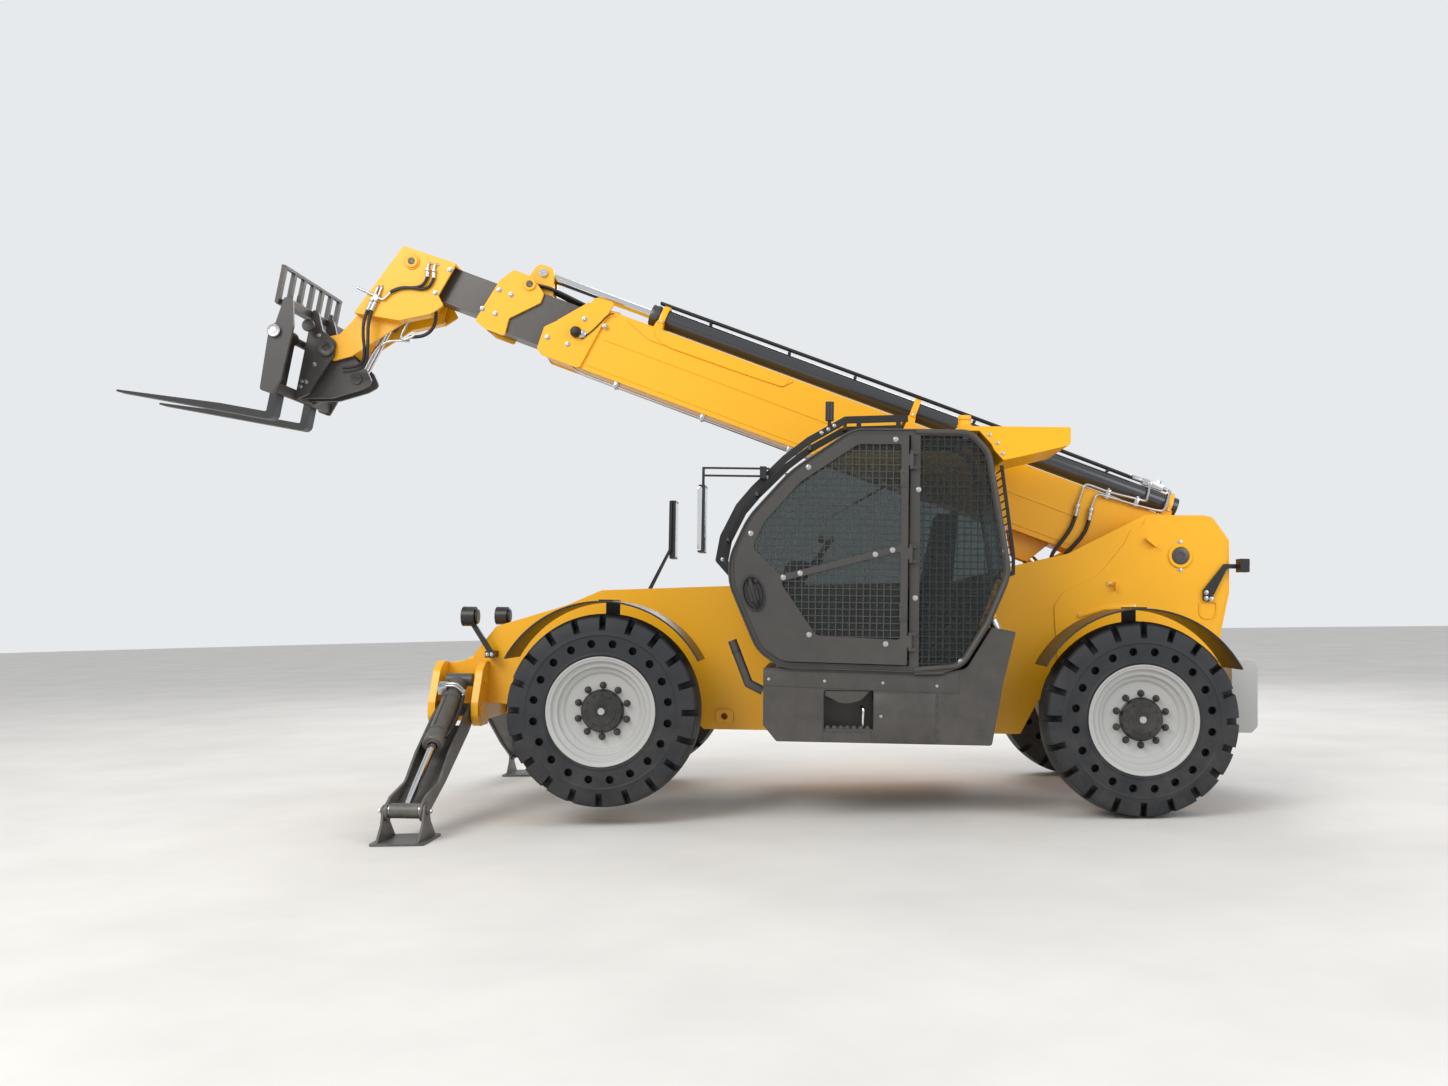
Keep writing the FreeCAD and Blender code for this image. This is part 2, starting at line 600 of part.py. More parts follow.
# Knuckle about the steering pin's foot on the axle line, outwards to -Y.
KP = S.king_pin
FLANGE = KP + 68 + 14
knuckle = join("knuckle_set", [
    rod("knuckle_flange", S.knuckle_radius + 12, 32, "Y", 0, -(FLANGE - KP) - 32, 0),
    rod("knuckle_hub", S.knuckle_radius - 12, DISC_IN - FLANGE - 32 - 0.5, "Y", 0, -(DISC_IN - KP) + 0.5, 0),
    box("knuckle_top", -50, 50, -(FLANGE - KP) - 20, 40, BOSS + S.pin_play, BOSS + 36),
    box("knuckle_foot", -50, 50, -(FLANGE - KP) - 20, 40, -BOSS - 36, -BOSS - S.pin_play),
    box("knuckle_web", -60, 60, -(FLANGE - KP) - 32, -(FLANGE - KP), -BOSS - 36, BOSS + 36)])
for end, x in (("front", FRONT), ("rear", 0)):
    for kind, shape, y in (("tyre", tyre, MID), ("rim", rim, MID), ("knuckle", knuckle, KP)):
        place = FreeCAD.Placement(V(val(x), -val(y), val(AXLE_Z)), FreeCAD.Rotation())
        near = moved(f"{kind}_{end}_near", shape, place)
        node(f"{kind}_{end}_left", near)
        node(f"{kind}_{end}_right", mirror(f"{kind}_{end}_far", near))

# ----------------------------------------------------------------- fenders
def ring_sector(name, outer, inner, y0, y1, x, z, start, sweep):
    """Part of a flat ring about a Y axis, its angles measured from +X upwards."""
    parts = []
    for tag, radius, angle in (("out", outer, sweep), ("in", inner, 360)):
        c = doc.addObject("Part::Cylinder", f"{name}_{tag}")
        bind(c, "Radius", radius)
        bind(c, "Height", y1 - y0)
        c.Angle = angle
        # After the turn onto Y the cylinder's own X stays X and its Y points to -Z.
        c.Placement = FreeCAD.Placement(V(val(x), val(y0), val(z)),
                                        FreeCAD.Rotation(Y_AXIS, -start - sweep).multiply(TURNS["Y"]))
        parts.append(c)
    return less(name, parts[0], [parts[1]])


# A fender turns with its wheel, on a stay that stands on the knuckle.
FENDER_IN = S.tyre_radius + S.fender_gap
FENDER_OUT = FENDER_IN + S.fender_thick
FENDER_Y0 = -(OUT_FACE - KP) - 5
arc = ring_sector("fender_arc", FENDER_OUT, FENDER_IN, FENDER_Y0, FENDER_Y0 + S.fender_width, 0, 0, 28, 124)
stay = join("fender_stay", [
    box("fender_post", -45, 45, -64, -46, BOSS + 36 + S.seat_gap, FENDER_OUT + 8),
    box("fender_strap", -45, 45, FENDER_Y0 + 120, -46, FENDER_OUT - 3, FENDER_OUT + 8)])
fender = join("fender_set", [arc, stay])
for end, x in (("front", FRONT), ("rear", 0)):
    place = FreeCAD.Placement(V(val(x), -val(KP), val(AXLE_Z)), FreeCAD.Rotation())
    near = moved(f"fender_{end}_near", fender, place)
    node(f"fender_{end}_left", near)
    node(f"fender_{end}_right", mirror(f"fender_{end}_far", near))

# -------------------------------------------------------------------- boom
# Boom frame: the pivot is the origin, -X runs forwards along the boom.
def tube(name, x0, x1, half, low, high, wall):
    """A square boom section from x0 to x1, open at both ends."""
    outer = box(f"{name}_outside", x0, x1, -half, half, low, high)
    inner = box(f"{name}_inside", x0 - 10, x1 + 10, -half + wall, half - wall, low + wall, high - wall)
    return less(name, outer, [inner])


BF = -S.boom_front
outer_tube = tube("outer_tube", BF, 150, S.boom_half, -S.boom_low, S.boom_top, S.boom_wall)
COLLAR1 = [(BF - 66, -20, 25), (BF - 60, -180, 25), (BF - 20, -S.boom_low - 8, 25), (BF + 270, -S.boom_low - 8, 30),
           (BF + 330, S.boom_top + 10, 20), (BF + 348, S.boom_top + 66, 25), (BF + 201, S.boom_top + 50, 30),
           (BF + 162, S.boom_top - 40, 20)]
collar_near = prism("collar1_near", COLLAR1, -S.boom_half - 18, -S.boom_half)
slant = prism("front_slant", [(BF - 200, -400), (BF - 66, -20), (BF + 162, S.boom_top + 4), (BF + 162, 600),
                              (BF - 200, 600)], -300, 300)
stiff = prism("boom_stiffener", [(BF + 420, S.boom_top - 12, 10), (BF + 660, S.boom_top - 100, 30),
                                 (BF + 1650, S.boom_top - 86, 30), (BF + 1720, S.boom_top - 12, 10)],
              -S.boom_half - 6, -S.boom_half)
boss = pin_across("pivot_boss", S.pivot_pin + 45, INNER - 5, 0, 0)
cheek = prism("pivot_cheek", [(-260, -S.boom_low + 5, 20), (-200, 120, 60), (110, 120, 60), (150, -60, 40),
                              (120, -S.boom_low + 5, 20)], -S.boom_half - 20, -S.boom_half)
outer_parts = [outer_tube, collar_near, mirror("collar1_far", collar_near), stiff, mirror("stiffener_far", stiff),
               boss, cheek, mirror("pivot_cheek_far", cheek)]
# Lugs under the boom for the lift rod and saddles on it for the extension cylinder.
LUG_IN = 52
for side, low, high in (("left", -LUG_IN - 25, -LUG_IN), ("right", LUG_IN, LUG_IN + 25)):
    outer_parts.append(prism(f"lift_eye_lug_{side}", [
        (-S.lift_eye_along - 150, -S.boom_low), (-S.lift_eye_along - 50, -S.lift_eye_below - 55, 40),
        (-S.lift_eye_along + 50, -S.lift_eye_below - 55, 40), (-S.lift_eye_along + 150, -S.boom_low)], low, high))
cradle = rod("saddle_cradle", S.ram_radius + S.seat_gap, S.ram_front, "X", -S.ram_front, 0, S.ram_height)
for name, at in (("mid", 2000), ("gland", 3900), ("rear", S.ram_rear + 40)):
    block = box(f"saddle_{name}_block", -at - 50, -at, -60, 60, S.boom_top, S.ram_height - S.ram_radius + 34)
    outer_parts.append(less(f"saddle_{name}", block, [cradle]))
MID_HALF = S.boom_half - S.boom_wall - S.stage_gap
MID_TOP = 205
MID_LOW = -152


def wear_pads(name, x, half, low, high, in_half, in_low, in_high):
    """Slide pads at the mouth of a section, around the section inside it."""
    side = box(f"pad_{name}_side", x, x + 160, -half - 1, -in_half - 0.5, in_low + 60, in_high - 60)
    return [box(f"pad_{name}_low", x, x + 160, -in_half + 30, in_half - 30, low - 1, in_low - 0.5),
            box(f"pad_{name}_top", x, x + 160, -in_half + 30, in_half - 30, in_high + 0.5, high + 1),
            side, mirror(f"pad_{name}_side_far", side)]


outer_parts += wear_pads("outer", BF + 190, S.boom_half - S.boom_wall, -S.boom_low + S.boom_wall,
                         S.boom_top - S.boom_wall, MID_HALF, MID_LOW, MID_TOP)
outer_solid = join("outer_solid", outer_parts)
bore = pin_across("pivot_bore", S.pivot_pin, S.frame_half, 0, 0)
node("boom_outer", less("outer_cut", outer_solid, [slant, bore]), BOOM)

ram_barrel = less("ram_barrel_cut", rod("ram_tube", S.ram_radius, S.ram_front - S.ram_rear, "X", -S.ram_front, 0,
                                        S.ram_height),
                  [rod("ram_bore", S.ram_rod + S.pin_play, S.ram_front - S.ram_rear - 60, "X", -S.ram_front - 5, 0,
                       S.ram_height)])
node("extend_barrel", ram_barrel, BOOM)

IN_HALF = MID_HALF - S.mid_wall - S.stage_gap
IN_TOP = 158
IN_LOW = -100
mid_tube = tube("mid_tube", -S.mid_front - 90, -S.mid_rear, MID_HALF, MID_LOW, MID_TOP, S.mid_wall)
M = -S.mid_front
COLLAR2 = [(M - 147, -148, 20), (M - 86, 180, 25), (M - 20, 285, 30), (M + 120, 285, 30), (M + 242, 200, 30),
           (M + 242, 130, 25), (M + 73, -50, 20), (M + 88, -179, 20), (M - 60, -179, 20)]
collar2 = prism("collar2_near", COLLAR2, -MID_HALF - 22, -MID_HALF)
eye_lug = prism("ram_eye_lug", [(-S.ram_eye - 110, MID_TOP), (-S.ram_eye - 60, S.ram_height + 55, 50),
                                (-S.ram_eye + 60, S.ram_height + 55, 50), (-S.ram_eye + 130, MID_TOP)],
                -70, -45)
mid_slant = prism("mid_slant", [(M - 300, -600), (M - 147, -148), (M - 86, 180), (M - 40, 600), (M - 300, 600)],
                  -300, 300)
mid_solid = join("mid_solid", [mid_tube, collar2, mirror("collar2_far", collar2), eye_lug,
                               mirror("ram_eye_lug_far", eye_lug)]
                 + wear_pads("mid", M + 240, MID_HALF - S.mid_wall, MID_LOW + S.mid_wall, MID_TOP - S.mid_wall,
                             IN_HALF, IN_LOW, IN_TOP))
node("boom_mid", less("mid_cut", mid_solid, [mid_slant]), BOOM)
ram_rod = join("ram_rod_set", [
    rod("ram_shaft", S.ram_rod, S.ram_eye - 950, "X", -S.ram_eye, 0, S.ram_height),
    pin_across("ram_eye_piece", 55, 44.5, -S.ram_eye, S.ram_height),
    rod("ram_pin_left", 30, 18, "Y", -S.ram_eye, -88, S.ram_height),
    rod("ram_pin_right", 30, 18, "Y", -S.ram_eye, 70, S.ram_height)])
node("extend_rod", ram_rod, BOOM)

inner_tube = tube("inner_tube", -S.inner_front, -S.inner_rear, IN_HALF, IN_LOW, IN_TOP, S.inner_wall)
node("boom_inner", inner_tube, BOOM)

# Boom head: a wide box welded on the inner section, its lower plates narrower
# so that the coupler's plates pass outside them.
H = -S.hinge_along
HV = -S.hinge_below
HEAD = [(H + 661, 178, 10), (H + 263, 168, 25), (H + 108, -400, 10), (H + 429, -339, 10), (H + 617, -219, 15),
        (H + 682, -130, 15), (H + 622, -78, 10)]
head_near = prism("head_near", HEAD, -S.head_half, -S.head_half + S.head_plate)
head_top = prism("head_top", [(H + 661, 178, 5), (H + 263, 168, 25), (H + 108, -400), (H + 128, -400),
                              (H + 280, 148, 10), (H + 661, 158)], -S.head_half + 10, S.head_half - 10)
LOW_OUT = S.coupler_half - S.coupler_plate - 8
LOWER = [(H + 196, -100), (H + 106, -402, 10), (H + 40, HV + 130, 40), (H - 66, HV + 60, 55),
         (H - 66, HV - 66, 60), (H + 66, HV - 66, 60), (H + 175, HV + 10, 30), (H + 430, -341, 20),
         (H + 617, -222, 10), (H + 600, -100)]
low_near = prism("head_low_near", LOWER, -LOW_OUT, -LOW_OUT + 20, rounds=[(H, HV, S.hinge_pin)])
shoulder = prism("head_shoulder", [(H + 108, -400), (H + 429, -341), (H + 617, -222), (H + 620, -200),
                                   (H + 424, -320), (H + 112, -380)], -S.head_half + 10, -LOW_OUT + 10)
sleeve_front = box("head_sleeve_wall", H + 560, H + 580, -S.head_half + 10, S.head_half - 10, IN_LOW - 60, 170)
socket = box("head_socket_gap", H + 540, H + 700, -IN_HALF - 0.2, IN_HALF + 0.2, IN_LOW - 0.2, IN_TOP + 0.2)
tilt_lug = prism("tilt_lug", [(H + 300, 100, 20), (H + 420, 160), (H + 470, 160), (H + 470, 20, 40),
                              (H + 361, -S.tilt_base_below - 70, 60), (H + 290, 20, 30)], -88, -62)
head_parts = [head_near, mirror("head_far", head_near), head_top, low_near, mirror("head_low_far", low_near),
              shoulder, mirror("head_shoulder_far", shoulder), tilt_lug, mirror("tilt_lug_far", tilt_lug)]
for k in (-1, 1):
    side = "left" if k < 0 else "right"
    head_parts.append(rod(f"tilt_boss_{side}", 55, S.head_half - 62, "Y", -S.tilt_base_along,
                          -S.head_half - 8 if k < 0 else 70, -S.tilt_base_below))
head_solid = join("head_solid", head_parts + [sleeve_front])
node("boom_head", less("head_cut", head_solid, [socket]), BOOM)

# ---------------------------------------------------------------- coupler
# Carriage frame: the hinge is the origin and the forks run along -X.
CO = S.coupler_half
CP = S.coupler_plate
FACE = -150
HOOK_X, HOOK_Z, HOOK_R = -126, 125, 20
COUPLER = [(FACE, 250, 15), (-110, 250, 30), (-50, 112, 60), (55, 62, 55), (62, -45, 55), (0, -190, 60),
           (-60, -340, 30), (FACE, -400, 15)]
cheek_near = prism("coupler_near", COUPLER, -CO, -CO + CP)
LB, LD = S.lever_back, -S.lever_down
lever_near = prism("lever_near", [(FACE, 55, 15), (-70, 62, 20), (48, 62, 50), (LB + 60, LD + 70, 50),
                                  (LB + 116, LD - 8, 40), (LB + 40, LD - 70, 50), (LB - 148, LD - 164, 60),
                                  (FACE, -380, 15)], -84, -60)
coupler_parts = [cheek_near, mirror("coupler_far", cheek_near), lever_near, mirror("lever_far", lever_near),
                 box("coupler_wall", FACE, FACE + 20, -CO, CO, -395, 55),
                 box("coupler_brace", FACE + 10, -95, -CO + 5, CO - 5, -330, -310),
                 pin_across("hook_tube", HOOK_R, CO + 70, HOOK_X, HOOK_Z)]
for k in (-1, 1):
    side = "left" if k < 0 else "right"
    coupler_parts.append(rod(f"lever_boss_{side}", 38, 12, "Y", LB, -96 if k < 0 else 84, LD))
# The hinge pin turns with the coupler, in the bores of the head's lower plates.
coupler_parts += [pin_across("hinge_shaft", S.hinge_pin - S.pin_play, CO + 6, 0, 0),
                  rod("hinge_head_left", S.hinge_pin + 14, 10, "Y", 0, -CO - 10, 0),
                  rod("hinge_head_right", S.hinge_pin + 14, 10, "Y", 0, CO, 0)]
node("coupler", join("coupler_solid", coupler_parts), CARRIAGE)

# Fork carriage: end plates, ribs and two beams, with the backrest above.
CH = S.carriage_half
SHAFT_X = -218
END_PLATE = [(-200, 245, 15), (-225, 60), (SHAFT_X - 40, 40, 20), (SHAFT_X - 40, -40, 20), (-240, -405, 20),
             (FACE, -420, 20), (-110, -300, 40), (-100, 60, 60), (-140, 245, 20)]
end_near = prism("end_near", END_PLATE, -CH, -CH + 25)
RIB = [(FACE - 40, 240, 10), (FACE - 20, 240, 20), (-100, 120, 60), (-95, -60, 50), (-130, -320, 30), (FACE, -400, 10),
       (FACE - 34, -400), (FACE - 34, -330), (FACE, -330), (FACE, 190), (FACE - 40, 190)]
rib_near = prism("rib_near", RIB, -S.fork_half + 75, -S.fork_half + 95, rounds=[(HOOK_X, HOOK_Z, HOOK_R + S.pin_play)])
carriage_parts = [end_near, mirror("end_far", end_near), rib_near, mirror("rib_far", rib_near),
                  box("low_beam", FACE - 34, FACE, -CH + 20, CH - 20, -400, -330),
                  box("top_beam", FACE - 40, FACE, -CH + 20, CH - 20, 190, 240)]
bars = [box("backrest_rail", -262, -232, -CH, CH, S.backrest_top - 20, S.backrest_top)]
BAR_COUNT = 7
for k in range(BAR_COUNT):
    at = -CH + 22 + (2 * CH - 44) / (BAR_COUNT - 1) * k
    bars.append(box(f"backrest_bar_{k}", -260, -234, at - 22, at + 22, 200, S.backrest_top - 10))
bars.append(box("backrest_foot", -262, FACE - 40, -CH + 30, CH - 30, 196, 232))
shaft = [pin_across("shaft_bar", S.shaft_radius, CH + 14, SHAFT_X, 5),
         rod("shaft_cap", S.shaft_radius + 14, 12, "Y", SHAFT_X, -CH - 12, 5),
         rod("shaft_cap_far", S.shaft_radius + 14, 12, "Y", SHAFT_X, CH, 5)]
node("fork_frame", join("fork_frame_set", carriage_parts + bars + shaft), CARRIAGE)
FT = S.fork_thick
HEEL_X = SHAFT_X + FT / 2
FORK = [(HEEL_X, 5), (HEEL_X, -S.fork_drop, 45), (HEEL_X - S.fork_reach, -S.fork_drop, 6),
        (HEEL_X - S.fork_reach, -S.fork_drop + 14, 6), (HEEL_X - FT - 330, -S.fork_drop + 50),
        (HEEL_X - FT, -S.fork_drop + 50, 12), (HEEL_X - FT, 5)]
fork_blade = prism("fork_blade", FORK, -S.fork_half - S.fork_width / 2, -S.fork_half + S.fork_width / 2)
fork_eye = rod("fork_eye", S.shaft_radius + 22, S.fork_width, "Y", SHAFT_X, -S.fork_half - S.fork_width / 2, 5)
fork_bore = rod("fork_bore", S.shaft_radius + S.pin_play, S.fork_width + 10, "Y", SHAFT_X, -S.fork_half - S.fork_width / 2 - 5, 5)
fork_near = less("fork_near", join("fork_solid", [fork_blade, fork_eye]), [fork_bore])
node("forks", group("forks_set", [fork_near, mirror("fork_far", fork_near)]), CARRIAGE)

# --------------------------------------------------------------- cylinders
def point(frame, x, y, z):
    return frame.multVec(V(val(x), val(y), val(z)))


def turned_pin(name, radius, half, frame_axis):
    """An eye about the origin, across the cylinder along Y or X."""
    if frame_axis == "Y":
        return pin_across(name, radius, half, 0, 0)
    return rod(name, radius, 2 * half, "X", -half, 0, 0)


def barrel_of(name, radius, shaft, reach, eye, half, axis):
    """A cylinder barrel along +Z from its base eye at the origin."""
    body = join(f"{name}_solid", [
        rod(f"{name}_tube", radius, reach - eye - 6, "Z", 0, 0, eye + 6),
        rod(f"{name}_neck", radius * 0.62, eye + 12, "Z", 0, 0, 0),
        rod(f"{name}_gland", radius + 5, 44, "Z", 0, 0, reach - 44),
        turned_pin(f"{name}_eye", eye, half, axis)])
    return less(f"{name}_cut", body, [rod(f"{name}_bore", shaft + S.pin_play, reach - eye - 20, "Z", 0, 0, eye + 25)])


def shaft_of(name, shaft, tail, length, eye, half, axis):
    """A rod along +Z, from its tail inside the barrel to its eye at the length."""
    eye_piece = moved(f"{name}_eye_place", turned_pin(f"{name}_eye", eye, half, axis),
                      FreeCAD.Placement(V(0, 0, length), FreeCAD.Rotation()))
    return join(f"{name}_set", [rod(f"{name}_shaft", shaft, length - tail, "Z", 0, 0, tail), eye_piece])


LIFT_BASE = V(val(S.lift_base_x), 0, val(S.lift_base_z))
LIFT_TOP = point(BOOM, -S.lift_eye_along, 0, -S.lift_eye_below)
LIFT = along(LIFT_BASE, LIFT_TOP)
LIFT_LENGTH = (LIFT_TOP - LIFT_BASE).Length
node("lift_barrel", barrel_of("lift_barrel", S.lift_barrel, S.lift_rod, 930, 72, LIFT_EYE - 0.5, "Y"), LIFT)
node("lift_rod", shaft_of("lift_rod", S.lift_rod, LIFT_LENGTH - 860, LIFT_LENGTH, 50, LUG_IN - 0.5, "Y"), LIFT)

TILT_BASE = point(BOOM, -S.tilt_base_along, 0, -S.tilt_base_below)
TILT_TOP = point(CARRIAGE, S.lever_back, 0, -S.lever_down)
TILT = along(TILT_BASE, TILT_TOP)
TILT_LENGTH = (TILT_TOP - TILT_BASE).Length
node("tilt_barrel", barrel_of("tilt_barrel", S.tilt_barrel, S.tilt_rod, 490, 45, 61.5, "Y"), TILT)
node("tilt_rod", shaft_of("tilt_rod", S.tilt_rod, TILT_LENGTH - 500, TILT_LENGTH, 42, 59.5, "Y"), TILT)

# ------------------------------------------------------------- stabilizers
# The foot stands level on the ground, so its pin is set from there.
nose = math.radians(val(S.nose_up))
foot_drop = (val(S.foot_pin_z) - val(AXLE_Z) + val(LEG_X) * math.sin(nose)) / math.cos(nose)
FOOT_Z = val(AXLE_Z) + foot_drop
ROOT = V(val(LEG_X), -val(S.leg_root_y), val(S.leg_root_z))
FOOT = V(val(LEG_X), -val(S.foot_pin_y), FOOT_Z)
LEG_LENGTH = (FOOT - ROOT).Length
LEG_DROOP = math.degrees(math.asin((ROOT.z - FOOT.z) / LEG_LENGTH))
LEG = FreeCAD.Placement(ROOT, FreeCAD.Rotation(V(1, 0, 0), LEG_DROOP))
RAM_BASE = V(val(LEG_X), -val(S.leg_ram_y), val(S.leg_ram_z))
RAM = along(RAM_BASE, FOOT)
RAM_LENGTH = (FOOT - RAM_BASE).Length
FOOT_FRAME = FreeCAD.Placement(FOOT, FreeCAD.Rotation(Y_AXIS, -val(S.nose_up)))

L = -LEG_LENGTH
LEG_SIDE = [(58, -58, 55), (58, 50, 50), (-160, 58, 60), (L + 560, 30, 120), (L + 330, -20, 120), (L + 60, 56, 50),
            (L - 58, 50, 50), (L - 58, -50, 50), (L + 40, -62, 40), (L + 420, -88, 120), (-130, -84, 60)]
half = S.leg_gap / 2
leg_front = prism("leg_front", LEG_SIDE, -half - S.leg_plate, -half, "YZ")
leg_rear = prism("leg_rear", LEG_SIDE, half, half + S.leg_plate, "YZ")
leg_web = prism("leg_web", [(-110, -66), (L + 420, -74), (L + 120, -58), (L + 120, -46), (L + 420, -60),
                            (-110, -52)], -half, half, "YZ")
leg_tube = rod("leg_root_tube", 46, 2 * half + 2 * S.leg_plate + 12, "X", -half - S.leg_plate - 6, 0, 0)
leg = join("leg_set", [leg_front, leg_rear, leg_web, leg_tube])
leg_near = moved("leg_near", leg, LEG)
node("leg_left", leg_near)
node("leg_right", mirror("leg_far", leg_near))
leg_barrel = moved("leg_barrel_near", barrel_of("leg_barrel", S.leg_barrel, S.leg_rod, 660, 44, half - 8, "X"), RAM)
node("leg_barrel_left", leg_barrel)
node("leg_barrel_right", mirror("leg_barrel_far", leg_barrel))
leg_shaft = moved("leg_rod_near", shaft_of("leg_rod", S.leg_rod, RAM_LENGTH - 880, RAM_LENGTH, 42, half - 0.5, "X"), RAM)
node("leg_rod_left", leg_shaft)
node("leg_rod_right", mirror("leg_rod_far", leg_shaft))

# Foot about its pin: plate, two ears outside the leg and the pin's heads.
FP = -S.foot_pin_z
foot_parts = [prism("foot_plate", [(-S.foot_length / 2, -S.foot_width / 2, 25), (S.foot_length / 2, -S.foot_width / 2, 25),
                                   (S.foot_length / 2, S.foot_width / 2, 25), (-S.foot_length / 2, S.foot_width / 2, 25)],
                    FP, FP + S.foot_plate, "XY")]
EAR_X = half + S.leg_plate + 2
for name, x0, x1, out in (("front", -EAR_X - 14, -EAR_X, -1), ("rear", EAR_X, EAR_X + 14, 1)):
    foot_parts.append(prism(f"foot_ear_{name}", [(-S.foot_width / 2 + 20, FP + S.foot_plate), (-70, -70), (-38, 38, 36),
                                                 (38, 38, 36), (70, -70), (S.foot_width / 2 - 20, FP + S.foot_plate)],
                            x0, x1, "YZ"))
    foot_parts.append(rod(f"foot_pin_{name}", 26, 12, "X", x0 - 12 if out < 0 else x1, 0, 0))
foot = join("foot_set", foot_parts)
foot_near = moved("foot_near", foot, FOOT_FRAME)
node("foot_left", foot_near)
node("foot_right", mirror("foot_far", foot_near))

# --------------------------------------------------------------------- cab
CAB = [(-1052, 2372, 150), (-930, 2240, 200), (-800, 1480, 300), (-932, 1164, 300), (-1090, 905, 150),
       (-1237, 862, 150), (-2215, 880, 200), (-2370, 985, 250), (-2551, 1400, 350), (-2551, 1560, 350),
       (-2440, 1810, 500), (-2177, 2106, 700), (-1790, 2372, 250)]


def inset(rows, by):
    """The same outline moved inwards, corner by corner."""
    points = [V(val(r[0]), val(r[1]), 0) for r in rows]
    middle = sum(points, V(0, 0, 0)) * (1 / len(points))
    out = []
    for i, q in enumerate(points):
        p, n = points[i - 1], points[(i + 1) % len(points)]
        a, b = (q - p).normalize(), (n - q).normalize()
        normals = [V(-a.y, a.x, 0), V(-b.y, b.x, 0)]
        normals = [m if m.dot(middle - q) > 0 else m * -1 for m in normals]
        bis = (normals[0] + normals[1]).normalize()
        step = by / max(0.3, bis.dot(normals[0]))
        move = q + bis * step
        radius = max(8.0, (rows[i][2] if len(rows[i]) > 2 else 0) - by)
        out.append((move.x, move.y, radius))
    return out


W = val(S.cab_wall)
CAB_IN = inset(CAB, W)
B_POST = -1430
# The door hangs on the middle post: its panel, then its hinges' axis.
DOOR_EDGE = B_POST - 14
DY0 = -S.cab_out - S.door_thick - S.seat_gap
DY1 = -S.cab_out - S.seat_gap
HINGE_X = DOOR_EDGE + 18
HINGE_Y = DY0 + 10
HINGES = (1020, 1560, 2140)
KNUCKLE = 70
ring_near = prism("cab_ring_near", CAB, -S.cab_out, -S.cab_out + S.cab_wall, holes=[CAB_IN])
ring_far = prism("cab_ring_far", CAB, -S.cab_in - S.cab_wall, -S.cab_in, holes=[CAB_IN])
cab_parts = [ring_near, ring_far]
for name, y0 in (("near", -S.cab_out), ("far", -S.cab_in - S.cab_wall)):
    cab_parts.append(box(f"b_post_{name}", B_POST, B_POST + 60, y0, y0 + S.cab_wall, 890, 2345))
# Cross tubes joining the two rings at their corners.
TIES = [(-1790, 2332), (-1090, 2332), (-850, 1470), (-1200, 896), (-2230, 902), (-2520, 1440), (-2190, 2070)]
TIE_HALF = 18 + S.seat_gap
for k, (x, z) in enumerate(TIES):
    cab_parts.append(box(f"cab_tie_{k}", x - 18, x + 18, -S.cab_out + 10, -S.cab_in - 10, z - 18, z + 18))
Y0 = -S.cab_out + S.cab_wall
Y1 = -S.cab_in - S.cab_wall
panels = [
    prism("cab_floor", [(-2215, 915), (-1250, 898), (-1250, 930), (-2215, 946)], Y0, Y1),
    prism("cab_roof", [(-1770, 2350), (-1110, 2350), (-1110, 2366), (-1770, 2366)], Y0, Y1),
    prism("cab_toe", [(-2245, 930), (-2360, 1000), (-2500, 1400), (-2488, 1400), (-2350, 1006), (-2240, 943)], Y0, Y1),
    prism("cab_back", [(-880, 1480), (-1080, 930), (-1180, 915), (-1180, 927), (-1090, 941), (-893, 1480)], Y0, Y1),
    box("cab_side_low", -2200, B_POST + 1, Y1 + 4, -S.cab_in - 4, 905, 1400)]
brackets = []
for k, z in enumerate(HINGES):
    brackets.append(rod(f"hinge_pin_{k}", 6, KNUCKLE + 44, "Z", HINGE_X, HINGE_Y, z - 22))
    for end, low in (("low", z - 22), ("high", z + KNUCKLE + 0.5)):
        brackets += [rod(f"hinge_disc_{end}_{k}", 13, 21.5, "Z", HINGE_X, HINGE_Y, low),
                     box(f"hinge_leaf_{end}_{k}", HINGE_X - 4, HINGE_X + 34, HINGE_Y, -S.cab_out, low, low + 21.5)]
node("cab_frame", join("cab_frame_set", cab_parts + panels + brackets))
glass = [
    prism("windscreen", [(-2525, 1470), (-2525, 1560), (-2420, 1795), (-2200.5, 2049.4), (-2211, 2051.4), (-2428, 1801),
                         (-2534, 1562), (-2534, 1470)], Y0 + S.seat_gap, Y1 - S.seat_gap),
    prism("roof_glass", [(-2165, 2084), (-1812, 2333), (-1817, 2341), (-2170, 2092)], Y0 + S.seat_gap, Y1 - S.seat_gap),
    prism("rear_glass", [(-833, 1500), (-950, 2225), (-1063, 2338), (-1071.4, 2334.4), (-958, 2221), (-841, 1500)],
          Y0 + S.seat_gap, Y1 - S.seat_gap)]


def common(name, base, tool):
    obj = doc.addObject("Part::Common", name)
    obj.Base = base
    obj.Tool = tool
    return obj


CAB_PANE = inset(CAB, W + 0.3)


def cab_slice(name, x0, x1, z0, z1, y0, y1):
    """A flat sheet that fills the cab's side outline between two x and two z."""
    whole = prism(f"{name}_whole", CAB_PANE, y0, y1)
    return common(name, whole, box(f"{name}_part", x0, x1, y0 - 5, y1 + 5, z0, z1))


